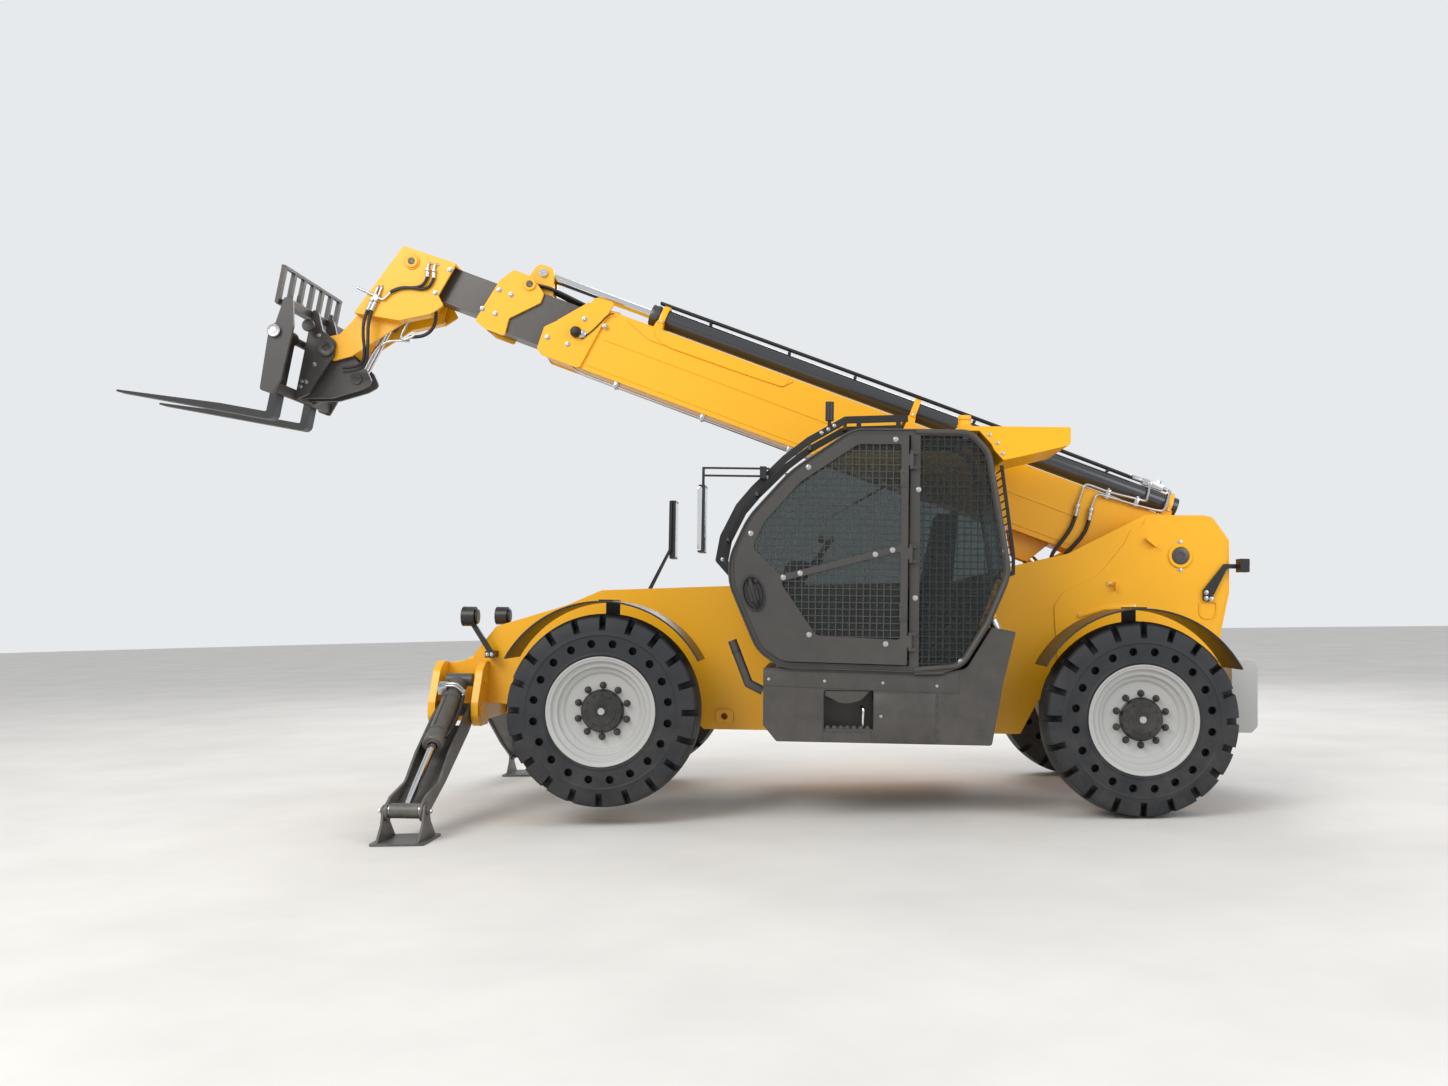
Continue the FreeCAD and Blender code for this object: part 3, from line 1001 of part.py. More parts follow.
PANE_X = B_POST + 60.3
side_glass = [cab_slice("quarter_glass", PANE_X, 0, 800, 2500, -S.cab_out + 22, -S.cab_out + 22 + S.glass_thick),
              cab_slice("far_quarter_glass", PANE_X, 0, 800, 2500, -S.cab_in - 20, -S.cab_in - 12),
              cab_slice("far_side_glass", -2600, B_POST - 0.3, 1410, 2500, -S.cab_in - 20, -S.cab_in - 12)]
clear = []
for k, (x, z) in enumerate(TIES):
    clear.append(box(f"tie_room_{k}", x - TIE_HALF, x + TIE_HALF, -S.cab_out, -S.cab_in, z - TIE_HALF, z + TIE_HALF))
side_glass = [less(f"side_pane_{k}", pane, clear) for k, pane in enumerate(side_glass)]
node("cab_glass", group("cab_glass_set", glass + side_glass))


def mesh(name, window, x0, x1, z0, z1, y):
    """Guard wires, uprights before level ones, cut to a window's outline."""
    pitch, thick = val(S.wire_pitch), val(S.wire_thick)
    wires = []
    for k in range(1, int((x1 - x0) / pitch) + 1):
        at = x0 + pitch * (k - 0.5)
        wires.append(box(f"{name}_up_{k}", at - thick / 2, at + thick / 2, y, y + 3.5, z0, z1))
    for k in range(1, int((z1 - z0) / pitch) + 1):
        at = z0 + pitch * (k - 0.5)
        wires.append(box(f"{name}_level_{k}", x0, x1, y + 4, y + 7.5, at - thick / 2, at + thick / 2))
    return common(f"{name}_wires", group(f"{name}_set", wires), window)


QUARTER_WINDOW = less("quarter_window",
                      cab_slice("quarter_room", PANE_X, 0, 800, 2500, -S.cab_out, -S.cab_out + 20), clear)
quarter_guard = mesh("quarter_mesh", QUARTER_WINDOW, B_POST + 61, -800, 900, 2340, -S.cab_out + 4)

# Door: a flat panel in front of the rings' opening, hinged on the middle post.
DOOR = [(DOOR_EDGE, 2330, 12), (-1800, 2330, 220), (-2160, 2080, 600), (-2412, 1795, 450), (-2510, 1560, 330),
        (-2510, 1410, 330), (-2335, 1010, 200), (-2205, 925, 150), (DOOR_EDGE, 912, 12)]
UPPER = [(-1490, 2271, 15), (-1757, 2268, 70), (-2110, 2030, 120), (-2330, 1780, 120), (-2405, 1619, 60),
         (-2229, 1454, 20), (-1490, 1650, 15)]
LOWER_PANE = [(-1490, 1608, 15), (-2229, 1412, 20), (-2000, 1085, 40), (-1490, 1066, 15)]
door = prism("door_panel", DOOR, DY0, DY1, holes=[UPPER, LOWER_PANE])
hinges = []
for k, z in enumerate(HINGES):
    solid = join(f"door_knuckle_{k}_solid", [rod(f"door_knuckle_{k}_tube", 13, KNUCKLE, "Z", HINGE_X, HINGE_Y, z),
                                             box(f"door_leaf_{k}", DOOR_EDGE - 4, HINGE_X, DY0, DY0 + 10, z,
                                                 z + KNUCKLE)])
    hinges.append(less(f"door_knuckle_{k}", solid, [rod(f"door_knuckle_{k}_bore", 6 + S.pin_play, 80, "Z", HINGE_X,
                                                        HINGE_Y, z - 5)]))
handle = prism("door_handle", [(-2400, 1280, 25), (-2350, 1290, 25), (-2380, 1400, 25), (-2430, 1390, 25)],
               DY0 - 30, DY0)
door_solid = join("cab_door_set", [door, handle] + hinges)
panes = [prism("upper_pane", inset(UPPER, 0.3), DY0 + 16, DY0 + 22),
         prism("lower_pane", inset(LOWER_PANE, 0.3), DY0 + 16, DY0 + 22)]
node("door_glass", group("door_glass_set", panes))
door_mesh = []
for name, window, x0, x1, z0, z1 in (("upper", UPPER, -2400, -1490, 1450, 2275),
                                     ("lower", LOWER_PANE, -2240, -1490, 1060, 1610)):
    opening = prism(f"{name}_window", inset(window, 0.3), DY0, DY0 + 20)
    door_mesh.append(mesh(f"door_{name}_mesh", opening, x0, x1, z0, z1, DY0 + 4))
node("cab_door", group("cab_door_all", [door_solid] + door_mesh))

# Seat on its pedestal, and the steering column with its wheel.
seat_y = -(S.cab_out + S.cab_in) / 2
seat = [box("seat_base", -1530, -1200, seat_y - 170, seat_y + 170, 935, 1190),
        prism("seat_cushion", [(-1720, 1190, 30), (-1730, 1290, 50), (-1250, 1270, 40), (-1240, 1190, 20)],
              seat_y - 240, seat_y + 240),
        prism("seat_back", [(-1250, 1200, 20), (-1330, 1275, 30), (-1210, 1900, 50), (-1110, 1880, 40),
                            (-1160, 1200, 30)], seat_y - 230, seat_y + 230)]
wheel_place = FreeCAD.Placement(V(-2010, val(seat_y), 1560), FreeCAD.Rotation(Y_AXIS, -55))
torus = doc.addObject("Part::Torus", "steering_rim")
torus.Radius1 = 180
torus.Radius2 = 15
spokes = box("steering_spoke", -176, 176, -18, 18, -10, 10)
wheel = moved("steering_wheel", join("steering_wheel_set", [torus, spokes, rod("steering_hub", 40, 50, "Z", 0, 0, -30)]),
              wheel_place)
column = prism("steering_column", [(-2214, 946.4, 5), (-2330, 1150, 60), (-2200, 1560, 60), (-2080, 1560, 40),
                                   (-2005, 1545, 5), (-2000, 1510, 5), (-2080, 1420, 40), (-2090, 946.4, 5)],
               seat_y - 70, seat_y + 70)
node("cab_interior", group("cab_interior_set", [join("seat_set", seat), join("steering_set", [column, wheel])]))

# Outside of the cab: curved guard bars before the windscreen, work lamp,
# roof cover behind, and the grab handle below the door.
def band(path, width):
    """The outline of a bent flat bar: a path, then back along it a width further in."""
    points = [V(val(x), val(z), 0) for x, z in path]
    inner = []
    for i, here in enumerate(points):
        steps = [here - points[i - 1]] if i else []
        if i < len(points) - 1:
            steps.append(points[i + 1] - here)
        normals = [V(step.y, -step.x, 0).normalize() for step in steps]
        across = sum(normals, V(0, 0, 0)).normalize()
        inner.append(here + across * (width / across.dot(normals[0])))
    return path + [(q.x, q.y) for q in reversed(inner)]


GUARD_PATH = [(-2645, 1543), (-2618, 1700), (-2520, 1900), (-2425, 2015), (-2228, 2213), (-2077, 2331),
              (-1840, 2468), (-1440, 2485)]
GUARD_BAR = val(S.guard_bar)
guard_outline = band(GUARD_PATH, GUARD_BAR)
GUARD_NEAR = -S.cab_out + 160
GUARD_FAR = -S.cab_in - 160 - S.guard_sheet
guards = [prism("guard_bar_near", guard_outline, GUARD_NEAR, GUARD_NEAR + S.guard_sheet),
          prism("guard_bar_far", guard_outline, GUARD_FAR, GUARD_FAR + S.guard_sheet)]
for k in (1, 3, 5, 6, 7):
    (x0, z0), (x1, z1) = guard_outline[k], guard_outline[2 * len(GUARD_PATH) - 1 - k]
    x, z = (x0 + x1) / 2, (z0 + z1) / 2
    if k == 7:
        x -= 14
    guards.append(box(f"guard_rung_{k}", x - 10, x + 10, GUARD_NEAR, GUARD_FAR + S.guard_sheet, z - 10, z + 10))
for k, x in enumerate((-1500, -1750)):
    for tag, y in (("near", GUARD_NEAR), ("far", GUARD_FAR)):
        guards.append(box(f"guard_post_{k}_{tag}", x - 15, x + 15, y, y + S.guard_sheet, 2366 + S.seat_gap, 2450))
TIE_FRONT = -2520 - 18 - S.seat_gap
GUARD_FOOT = [(-2640, 1566), (-2602, 1566), (TIE_FRONT, 1457), (TIE_FRONT, 1423), (-2640, 1536)]
for tag, y in (("near", GUARD_NEAR), ("far", GUARD_FAR)):
    guards.append(prism(f"guard_foot_{tag}", GUARD_FOOT, y, y + S.guard_sheet))
# Behind the cab: a screen of level wires between two strips, on the rear cross tube.
SCREEN = [(-868, 2160), (-792, 1600), (-792, 1500), (-832 + S.seat_gap, 1486), (-832 + S.seat_gap, 1455),
          (-772, 1478), (-772, 1602), (-848, 2160)]
SCREEN_NEAR, SCREEN_FAR = -1100, -470
screen = [prism(f"screen_strip_{tag}", SCREEN, y, y + 20)
          for tag, y in (("near", SCREEN_NEAR), ("far", SCREEN_FAR - 20))]
for k in range(13):
    z = 1560 + k * 48
    x = -782 - max(0, z - 1601) * 76 / 559
    screen.append(box(f"screen_wire_{k}", x - 4, x + 4, SCREEN_NEAR + 5, SCREEN_FAR - 5, z - 4, z + 4))
node("cab_guard", group("cab_guard_set", [join("front_guard_set", guards), join("rear_screen_set", screen),
                                          quarter_guard]))
cover = prism("roof_cover_shape", [(-1150, 2372.3), (-1150, 2386, 6), (-1070, 2402, 20), (-432, 2402, 10),
                                   (-432, 2290, 30), (-740, 2215, 30), (-850, 2190, 20), (-905, 2250),
                                   (-925, 2290), (-1000, 2372.3)], -S.cab_out + 60, -S.cab_in - 10)
beacon_y = -S.cab_out + 130
beacon = join("beacon_set", [rod("beacon_base", 47, 16, "Z", -1086, beacon_y, 2392),
                             rod("beacon_lens", 41, 72, "Z", -1086, beacon_y, 2404)])
node("roof_cover", join("roof_cover_set", [cover, beacon]))

# ------------------------------------------------- step box, pod and weight
# Its top follows the underside of the cab's side rings, which stand on it.
SKIRT = [(-2325, 882 - S.seat_gap, 10), (-2322, 531, 20), (-2239, 432, 20), (-915, 425, 20), (-850, 800),
         (-772, 1124, 10), (-918, 1150, 20), (-1074, 894, 60), (-1237, 862 - S.seat_gap)]
STEP = [(-1948, 751, 10), (-1948, 493, 10), (-1644, 493, 10), (-1644, 751, 10)]
skirt_outer = prism("skirt_shape", SKIRT, -S.skirt_out, -S.frame_half - S.seat_gap)
step_recess = prism("step_recess", STEP, -S.skirt_out - 10, -S.skirt_out + 190)
skirt = less("skirt_cut", skirt_outer, [step_recess])
tread = box("step_tread", -1950, -1642, -S.skirt_out + 10, -S.skirt_out + 191, 490, 514)
# Thick round handle beside the cab's front corner, welded to the box's front wall.
HANDLE = [(-2527, 1045), (-2420, 778), (-2330, 735)]
handle_parts = []
for k, ((x0, z0), (x1, z1)) in enumerate(zip(HANDLE, HANDLE[1:])):
    foot_of = V(x0, -1050, z0)
    place = along(foot_of, V(x1, -1050, z1))
    length = (V(x1, -1050, z1) - foot_of).Length
    handle_parts.append(moved(f"handle_run_{k}", rod(f"handle_bar_{k}", S.handle_radius, length, "Z", 0, 0, 0), place))
elbow = doc.addObject("Part::Sphere", "handle_elbow")
bind(elbow, "Radius", S.handle_radius)
elbow.Placement = FreeCAD.Placement(V(HANDLE[1][0], -1050, HANDLE[1][1]), FreeCAD.Rotation())
node("step_box", join("step_box_set", [skirt, tread, elbow] + handle_parts))

POD0 = F + S.pod_front
POD1 = -S.pod_back
PY0 = S.frame_half + S.seat_gap
POD_SPLIT = 1000
tub = less("pod_tub_cut", box("pod_tub_shape", POD0, POD1, PY0, S.pod_out, S.pod_low, POD_SPLIT),
           [box("pod_tub_room", POD0 + S.pod_wall, POD1 - S.pod_wall, PY0 + S.pod_wall, S.pod_out - S.pod_wall,
                S.pod_low + S.pod_wall, POD_SPLIT + 10)])
node("engine_tub", tub)
HOOD = [(PY0 + 13, S.pod_top, 20), (S.pod_out - 130, S.pod_top - 20, 80), (S.pod_out, S.pod_top - 180, 60),
        (S.pod_out, POD_SPLIT + S.seat_gap), (PY0 + 13, POD_SPLIT + S.seat_gap)]
HOOD_IN = [(PY0 - 50, S.pod_top - 9), (S.pod_out - 134, S.pod_top - 29, 76), (S.pod_out - 8, S.pod_top - 184, 54),
           (S.pod_out - 8, POD_SPLIT - 20), (PY0 - 50, POD_SPLIT - 20)]
hood = less("hood_cut", prism("hood_shape", HOOD, POD0, POD1, "YZ"),
            [prism("hood_room", HOOD_IN, POD0 + S.pod_wall, POD1 - S.pod_wall, "YZ")])
node("engine_hood", hood)
engine = join("engine_set", [box("engine_block", POD0 + 267, POD1 - 390, PY0 + 90, PY0 + 520, 560, 1180),
                             box("engine_foot_a", POD0 + 317, POD0 + 377, PY0 + 90, PY0 + 520, S.pod_low + S.pod_wall, 560),
                             box("engine_foot_b", POD1 - 500, POD1 - 440, PY0 + 90, PY0 + 520, S.pod_low + S.pod_wall, 560)])
node("engine", engine)
weight = prism("counterweight_shape", [(PX + 270, 480, 10), (PX + 270, 949, 10), (S.weight_back - 30, 949, 40),
                                       (S.weight_back, 900, 20), (S.weight_back, 520, 30),
                                       (S.weight_back - 40, 480, 20)], -600, 600)
node("counterweight", weight)

# ------------------------------------------------------- lamps and mirrors
y = -450
head_lamps = [prism("lamp_arm", [(F - 898, 930), (F - 858, 930), (F - 983, 1120, 10), (F - 1023, 1120, 10)], y - 12, y + 12),
              rod("lamp_head", 66, 80, "X", F - 1063, y, 1165),
              box("lamp_foot", F - 908, F - 848, y - 30, -S.frame_half, 890, 935)]
lamp_near = join("head_lamp_near", head_lamps)
rear_arm = prism("rear_arm", [(600, 1340, 10), (650, 1340, 10), (760, 1560), (830, 1560), (830, 1590), (740, 1590, 10),
                              (600, 1410, 10)], -S.frame_half - 30, -S.frame_half)
rear_lamp = join("rear_lamp_near", [rear_arm, box("rear_lamp_body", 830, 890, -S.frame_half - 90, -S.frame_half + 10,
                                                  1535, 1625)])
work_lamp = join("work_lamp_set", [prism("work_lamp_stalk", [(-1948, 2405.95), (-1924, 2419.85), (-1924, 2445),
                                                              (-1948, 2445)], GUARD_NEAR, GUARD_NEAR + 20),
                                   rod("work_lamp_body", 27, 120, "Z", -1936, GUARD_NEAR + 10, 2440)])
node("lamps", group("lamps_set", [lamp_near, mirror("head_lamp_far", lamp_near), rear_lamp,
                                  mirror("rear_lamp_far", rear_lamp), work_lamp]))
mirror_near = join("mirror_near_set", [
    box("mirror_rail_top", -2720, -2310, -1070, -1055, 2118, 2130),
    box("mirror_rail_low", -2720, -2330, -1070, -1055, 2070, 2082),
    box("mirror_drop", -2732, -2716, -1070, -1055, 2000, 2130),
    box("mirror_head", -2745, -2705, -1150, -970, 1590, 2010),
    box("mirror_root", -2368, -2328, -1100, GUARD_NEAR - S.seat_gap, 2060, 2135)])
post = prism("far_post", [(F + 62, 1320), (F + 92, 1320), (F + 92, 1372), (F + 232, 1665, 10), (F + 232, 2030),
                          (F + 212, 2030), (F + 212, 1670, 10), (F + 62, 1372)], S.frame_half, S.frame_half + 20)
mirror_far = join("mirror_far_set", [post, box("far_mirror_head", F + 217, F + 257, S.frame_half + 20, S.frame_half + 200,
                                               1605, 2035)])
node("mirrors", group("mirrors_set", [mirror_near, mirror_far]))

# ------------------------------------------------------------------ export
doc.recompute()
for obj in doc.Objects:
    if "Invalid" in obj.State or "Error" in obj.State:
        raise RuntimeError(f"{obj.Name} failed: {obj.State}")

# The row's origin: the middle of the footprint, on the ground.
whole = FreeCAD.BoundBox()
for piece in NODES:
    whole.add(piece.Shape.BoundBox)
SHIFT = FreeCAD.Placement(V(-whole.Center.x, 0, 0), FreeCAD.Rotation())
for piece in NODES:
    piece.Placement = SHIFT.multiply(piece.Placement)
doc.recompute()
for piece in NODES:
    if piece.Shape.isNull() or not piece.Shape.isValid() or not piece.Shape.Solids:
        raise RuntimeError(f"{piece.Label} has no valid solid")
os.makedirs("parts", exist_ok=True)
for piece in NODES:
    piece.Shape.exportStep(f"parts/{piece.Label}.step")
print(f"{len(NODES)} pieces, {whole.XLength:.0f} x {whole.YLength:.0f} x {whole.ZLength:.0f} mm, "
      f"lowest {whole.ZMin:.2f}, shift {SHIFT.Base.x:.2f}")
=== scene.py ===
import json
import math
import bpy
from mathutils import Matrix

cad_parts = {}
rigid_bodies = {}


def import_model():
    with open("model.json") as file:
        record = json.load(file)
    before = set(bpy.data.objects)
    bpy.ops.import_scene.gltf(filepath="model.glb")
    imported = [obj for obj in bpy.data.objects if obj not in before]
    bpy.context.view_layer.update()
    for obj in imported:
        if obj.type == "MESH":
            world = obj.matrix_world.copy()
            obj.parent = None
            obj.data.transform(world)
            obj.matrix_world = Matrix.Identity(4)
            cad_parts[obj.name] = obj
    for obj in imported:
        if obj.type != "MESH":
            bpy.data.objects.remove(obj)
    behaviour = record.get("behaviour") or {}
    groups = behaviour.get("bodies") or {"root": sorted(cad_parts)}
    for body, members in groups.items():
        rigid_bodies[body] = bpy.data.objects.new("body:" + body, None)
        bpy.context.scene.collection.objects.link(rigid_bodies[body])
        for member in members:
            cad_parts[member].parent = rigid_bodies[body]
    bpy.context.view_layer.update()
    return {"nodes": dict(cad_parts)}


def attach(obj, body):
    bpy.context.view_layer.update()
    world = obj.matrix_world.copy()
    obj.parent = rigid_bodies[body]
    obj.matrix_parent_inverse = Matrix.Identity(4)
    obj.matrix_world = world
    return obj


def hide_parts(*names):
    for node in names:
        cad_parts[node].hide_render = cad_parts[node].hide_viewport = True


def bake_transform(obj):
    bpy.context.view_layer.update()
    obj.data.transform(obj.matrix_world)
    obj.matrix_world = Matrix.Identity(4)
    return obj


bl_info = {"name": "Telehandler Dress", "version": (1, 0, 0), "blender": (4, 5, 0),
    "location": "View3D > Sidebar > Telehandler",
    "description": "Paint, tyres, hoses and cab fittings for a telehandler on its stabilizers",
    "category": "Object"}

import bpy
from mathutils import Matrix, Vector

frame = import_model()
NODES = frame["nodes"]

# Frames of the machine, in metres and degrees. The chassis frame has its origin under the
# rear axle; the machine faces -X and stands nose-up on its stabilizers.
NOSE_UP = 1.84
ORIGIN_SHIFT = 2.9375
AXLE_HEIGHT = 0.600
BOOM_PIVOT = (0.452, 0.0, 1.641)
BOOM_ANGLE = 19.8
CARRIAGE_HINGE = (-6.064, 0.0, -0.698)
CARRIAGE_TURN = 9.6 - BOOM_ANGLE


def turned(degrees, axis="Y"):
    return Matrix.Rotation(math.radians(degrees), 4, axis)


def at(x, y, z):
    return Matrix.Translation((x, y, z))


CHASSIS = (at(ORIGIN_SHIFT, 0, 0) @ at(0, 0, AXLE_HEIGHT) @ turned(NOSE_UP)
    @ at(0, 0, -AXLE_HEIGHT))
BOOM = CHASSIS @ at(*BOOM_PIVOT) @ turned(BOOM_ANGLE)
CARRIAGE = BOOM @ at(*CARRIAGE_HINGE) @ turned(CARRIAGE_TURN)
LEFT, RIGHT = -1, 1
SIDES = (("left", LEFT), ("right", RIGHT))
IDENTITY = Matrix.Identity(4)


# Selection and modelling helpers.

def activate(obj):
    """Select one object alone and make it active."""
    bpy.ops.object.select_all(action="DESELECT")
    obj.select_set(True)
    bpy.context.view_layer.objects.active = obj


def edit_all(obj):
    """Open a piece for editing with all of it selected."""
    activate(obj)
    bpy.ops.object.mode_set(mode="EDIT")
    bpy.ops.mesh.select_all(action="SELECT")


def end_edit():
    """Turn every face outwards and leave edit mode."""
    bpy.ops.mesh.select_all(action="SELECT")
    bpy.ops.mesh.normals_make_consistent(inside=False)
    bpy.ops.object.mode_set(mode="OBJECT")


def added(name):
    """The object that the last primitive made, under its piece name."""
    obj = bpy.context.active_object
    obj.name = name
    obj.data.name = name
    return obj


def settle(obj, matrix):
    """Put a piece at its place and leave its object at the origin."""
    activate(obj)
    obj.matrix_world = matrix @ obj.matrix_world
    bpy.ops.object.transform_apply(location=True, rotation=True, scale=True)
    return obj


def smooth(obj, angle=35):
    activate(obj)
    bpy.ops.object.shade_smooth_by_angle(angle=math.radians(angle))
    return obj


def bevelled(obj, width, segments=2, limit=30):
    """Round the sharp edges of a piece."""
    activate(obj)
    rounding = obj.modifiers.new("rounded edges", "BEVEL")
    rounding.width = width
    rounding.segments = segments
    rounding.limit_method = "ANGLE"
    rounding.angle_limit = math.radians(limit)
    rounding.harden_normals = False
    bpy.ops.object.modifier_apply(modifier=rounding.name)
    return obj


def joined(name, pieces):
    """Join finished pieces into one mesh."""
    bpy.ops.object.select_all(action="DESELECT")
    for piece in pieces:
        piece.select_set(True)
    bpy.context.view_layer.objects.active = pieces[0]
    if len(pieces) > 1:
        bpy.ops.object.join()
    return added(name)


def carved(obj, cutters):
    """Cut one joined cutter out of a piece."""
    tool = joined(obj.name + "_cutter", cutters)
    activate(obj)
    cut = obj.modifiers.new("cut", "BOOLEAN")
    cut.operation = "DIFFERENCE"
    cut.solver = "EXACT"
    cut.object = tool
    bpy.ops.object.modifier_apply(modifier=cut.name)
    bpy.data.objects.remove(tool)
    return obj


def drum(name, radius, depth, matrix, sides=32, edge=0.0, top=None):
    """A round bar or disc along its own Z, its middle at the matrix."""
    if top is None:
        bpy.ops.mesh.primitive_cylinder_add(vertices=sides, radius=radius, depth=depth)
    else:
        bpy.ops.mesh.primitive_cone_add(vertices=sides, radius1=radius, radius2=top, depth=depth)
    obj = added(name)
    if edge:
        bevelled(obj, edge, 2, 50)
    settle(obj, matrix)
    return smooth(obj)


def block(name, size, matrix, edge=0.0, segments=2):
    """A rounded block, its middle at the matrix."""
    bpy.ops.mesh.primitive_cube_add(size=1)
    obj = added(name)
    obj.scale = size
    bpy.ops.object.transform_apply(location=False, rotation=False, scale=True)
    if edge:
        bevelled(obj, edge, segments)
    settle(obj, matrix)
    return smooth(obj)


def start_line(name, first):
    """A mesh of one vertex in edit mode, ready to be extruded along a line."""
    bpy.ops.object.select_all(action="DESELECT")
    bpy.ops.mesh.primitive_plane_add(size=0.01)
    obj = added(name)
    edit_all(obj)
    bpy.ops.mesh.merge(type="CENTER")
    bpy.ops.transform.translate(value=first)
    return obj


def extrude_line(points):
    """Extrude the selected vertex from each point to the next."""
    for here, there in zip(points, points[1:]):
        step = [b - a for a, b in zip(here, there)]
        bpy.ops.mesh.extrude_vertices_move(TRANSFORM_OT_translate={"value": step})


def spun(name, rows, matrix, steps=48, closed=True, angle=35):
    """Turn rows of (radius, along) about the piece's own Z."""
    points = [(r, 0.0, along) for r, along in rows]
    obj = start_line(name, points[0])
    extrude_line(points + points[:1] if closed else points)
    bpy.ops.mesh.select_all(action="SELECT")
    bpy.ops.mesh.remove_doubles(threshold=0.00001)
    bpy.ops.mesh.spin(steps=steps, angle=2 * math.pi, center=(0, 0, 0), axis=(0, 0, 1))
    bpy.ops.mesh.select_all(action="SELECT")
    bpy.ops.mesh.remove_doubles(threshold=0.00005)
    end_edit()
    settle(obj, matrix)
    return smooth(obj, angle)


def arc_corners(rows, steps=4):
    """Points of an outline whose rows are (x, z) or (x, z, corner radius)."""
    points = []
    count = len(rows)
    for i, row in enumerate(rows):
        corner = Vector(row[:2])
        radius = row[2] if len(row) > 2 else 0.0
        back = Vector(rows[i - 1][:2]) - corner
        ahead = Vector(rows[(i + 1) % count][:2]) - corner
        if radius <= 0 or back.length == 0 or ahead.length == 0:
            points.append(corner)
            continue
        a, b = back.normalized(), ahead.normalized()
        half = a.angle(b) / 2
        reach = min(radius / math.tan(half), back.length * 0.49, ahead.length * 0.49)
        for k in range(steps + 1):
            t = k / steps
            start, end = corner + a * reach, corner + b * reach
            points.append(start * (1 - t) ** 2 + corner * 2 * t * (1 - t) + end * t ** 2)
    return points


def plate(name, rows, low, high, matrix, edge=0.0, corner_steps=4):
    """A flat piece: an outline of (x, z) rows from one y to another."""
    points = [(p.x, low, p.y) for p in arc_corners(rows, corner_steps)]
    obj = start_line(name, points[0])
    extrude_line(points + points[:1])
    bpy.ops.mesh.select_all(action="SELECT")
    bpy.ops.mesh.remove_doubles(threshold=0.00001)
    bpy.ops.mesh.edge_face_add()
    bpy.ops.mesh.extrude_region_move(TRANSFORM_OT_translate={"value": (0, high - low, 0)})
    end_edit()
    if edge:
        bevelled(obj, edge, 2, 50)
    settle(obj, matrix)
    return smooth(obj)


def tube(name, points, radius, matrix, sides=3, smooth_path=True):
    """A hose or pipe along its points."""
    bpy.ops.object.select_all(action="DESELECT")
    bpy.ops.curve.primitive_nurbs_path_add()
    obj = added(name)
    splines = obj.data.splines
    splines.remove(splines[0])
    path = splines.new("NURBS")
    path.points.add(len(points) - 1)
    for point, place in zip(path.points, points):
        point.co = (*place, 1.0)
    path.use_endpoint_u = True
    path.order_u = 3 if smooth_path else 2
    path.resolution_u = 5
    obj.data.bevel_depth = radius
    obj.data.bevel_resolution = sides
    obj.data.use_fill_caps = True
    activate(obj)
    bpy.ops.object.convert(target="MESH")
    obj = added(name)
    settle(obj, matrix)
    return smooth(obj, 50)


def copied(obj, name, matrix):
    """A copy with its own mesh, moved by the matrix."""
    twin = obj.copy()
    twin.data = obj.data.copy()
    twin.name = name
    bpy.context.scene.collection.objects.link(twin)
    settle(twin, matrix)
    if matrix.to_3x3().determinant() < 0:
        edit_all(twin)
        end_edit()
    return twin


def copies_of(piece, places):
    """Copies of a small piece at several places. The piece itself goes."""
    copies = [copied(piece, f"{piece.name}_{k}", place) for k, place in enumerate(places)]
    bpy.data.objects.remove(piece)
    return copies


MIRROR_Y = Matrix.Scale(-1, 4, (0, 1, 0))
# A cylinder's own Z turned onto the machine's X or Y.
ALONG_X = turned(90)
ALONG_Y = turned(90, "X")


def coated(obj, material):
    """Give a mesh one material alone."""
    obj.data.materials.clear()
    obj.data.materials.append(MATERIALS[material])


def painted(obj, material):
    """Give a piece its material."""
    coated(obj, material)
    return obj


def dressed(obj, body, material):
    """A piece that rides on one body."""
    painted(obj, material)
    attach(obj, body)
    return obj


def fixed(name, pieces, body, material):
    """Join pieces into one that rides on a body."""
    return dressed(joined(name, pieces), body, material)


def hose_across(name, points, radius, matrix):
    """A rubber hose that crosses one joint, baked where it is made."""
    hose = painted(tube(name, points, radius, matrix), "hose_rubber")
    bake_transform(hose)
    return hose


# Finishes. The group below ages any surface: uneven colour, dust that lies on
# top and gathers low down, bare edges and a fine grain.

MATERIALS = {}


def link(tree, source, target):
    tree.links.new(source, target)


def number(tree, operation, *values):
    """A Math node whose inputs are numbers or sockets."""
    node = tree.nodes.new("ShaderNodeMath")
    node.operation = operation
    for socket, value in zip(node.inputs, values):
        if isinstance(value, (int, float)):
            socket.default_value = value
        else:
            link(tree, value, socket)
    return node.outputs[0]


def clamped_range(tree, value, low, high, out_low=0.0, out_high=1.0):
    node = tree.nodes.new("ShaderNodeMapRange")
    link(tree, value, node.inputs["Value"])
    node.inputs["From Min"].default_value = low
    node.inputs["From Max"].default_value = high
    node.inputs["To Min"].default_value = out_low
    node.inputs["To Max"].default_value = out_high
    return node.outputs["Result"]


def mixed(tree, factor, first, second):
    """A colour mix whose inputs are colours or sockets."""
    node = tree.nodes.new("ShaderNodeMix")
    node.data_type = "RGBA"
    for socket, value in ((node.inputs[0], factor), (node.inputs[6], first),
            (node.inputs[7], second)):
        if isinstance(value, (int, float, tuple)):
            socket.default_value = value
        else:
            link(tree, value, socket)
    return node.outputs[2]


def noise(tree, coordinates, scale, detail=3.0, roughness=0.55):
    node = tree.nodes.new("ShaderNodeTexNoise")
    node.inputs["Scale"].default_value = scale
    node.inputs["Detail"].default_value = detail
    node.inputs["Roughness"].default_value = roughness
    link(tree, coordinates, node.inputs["Vector"])
    return node.outputs["Fac"]


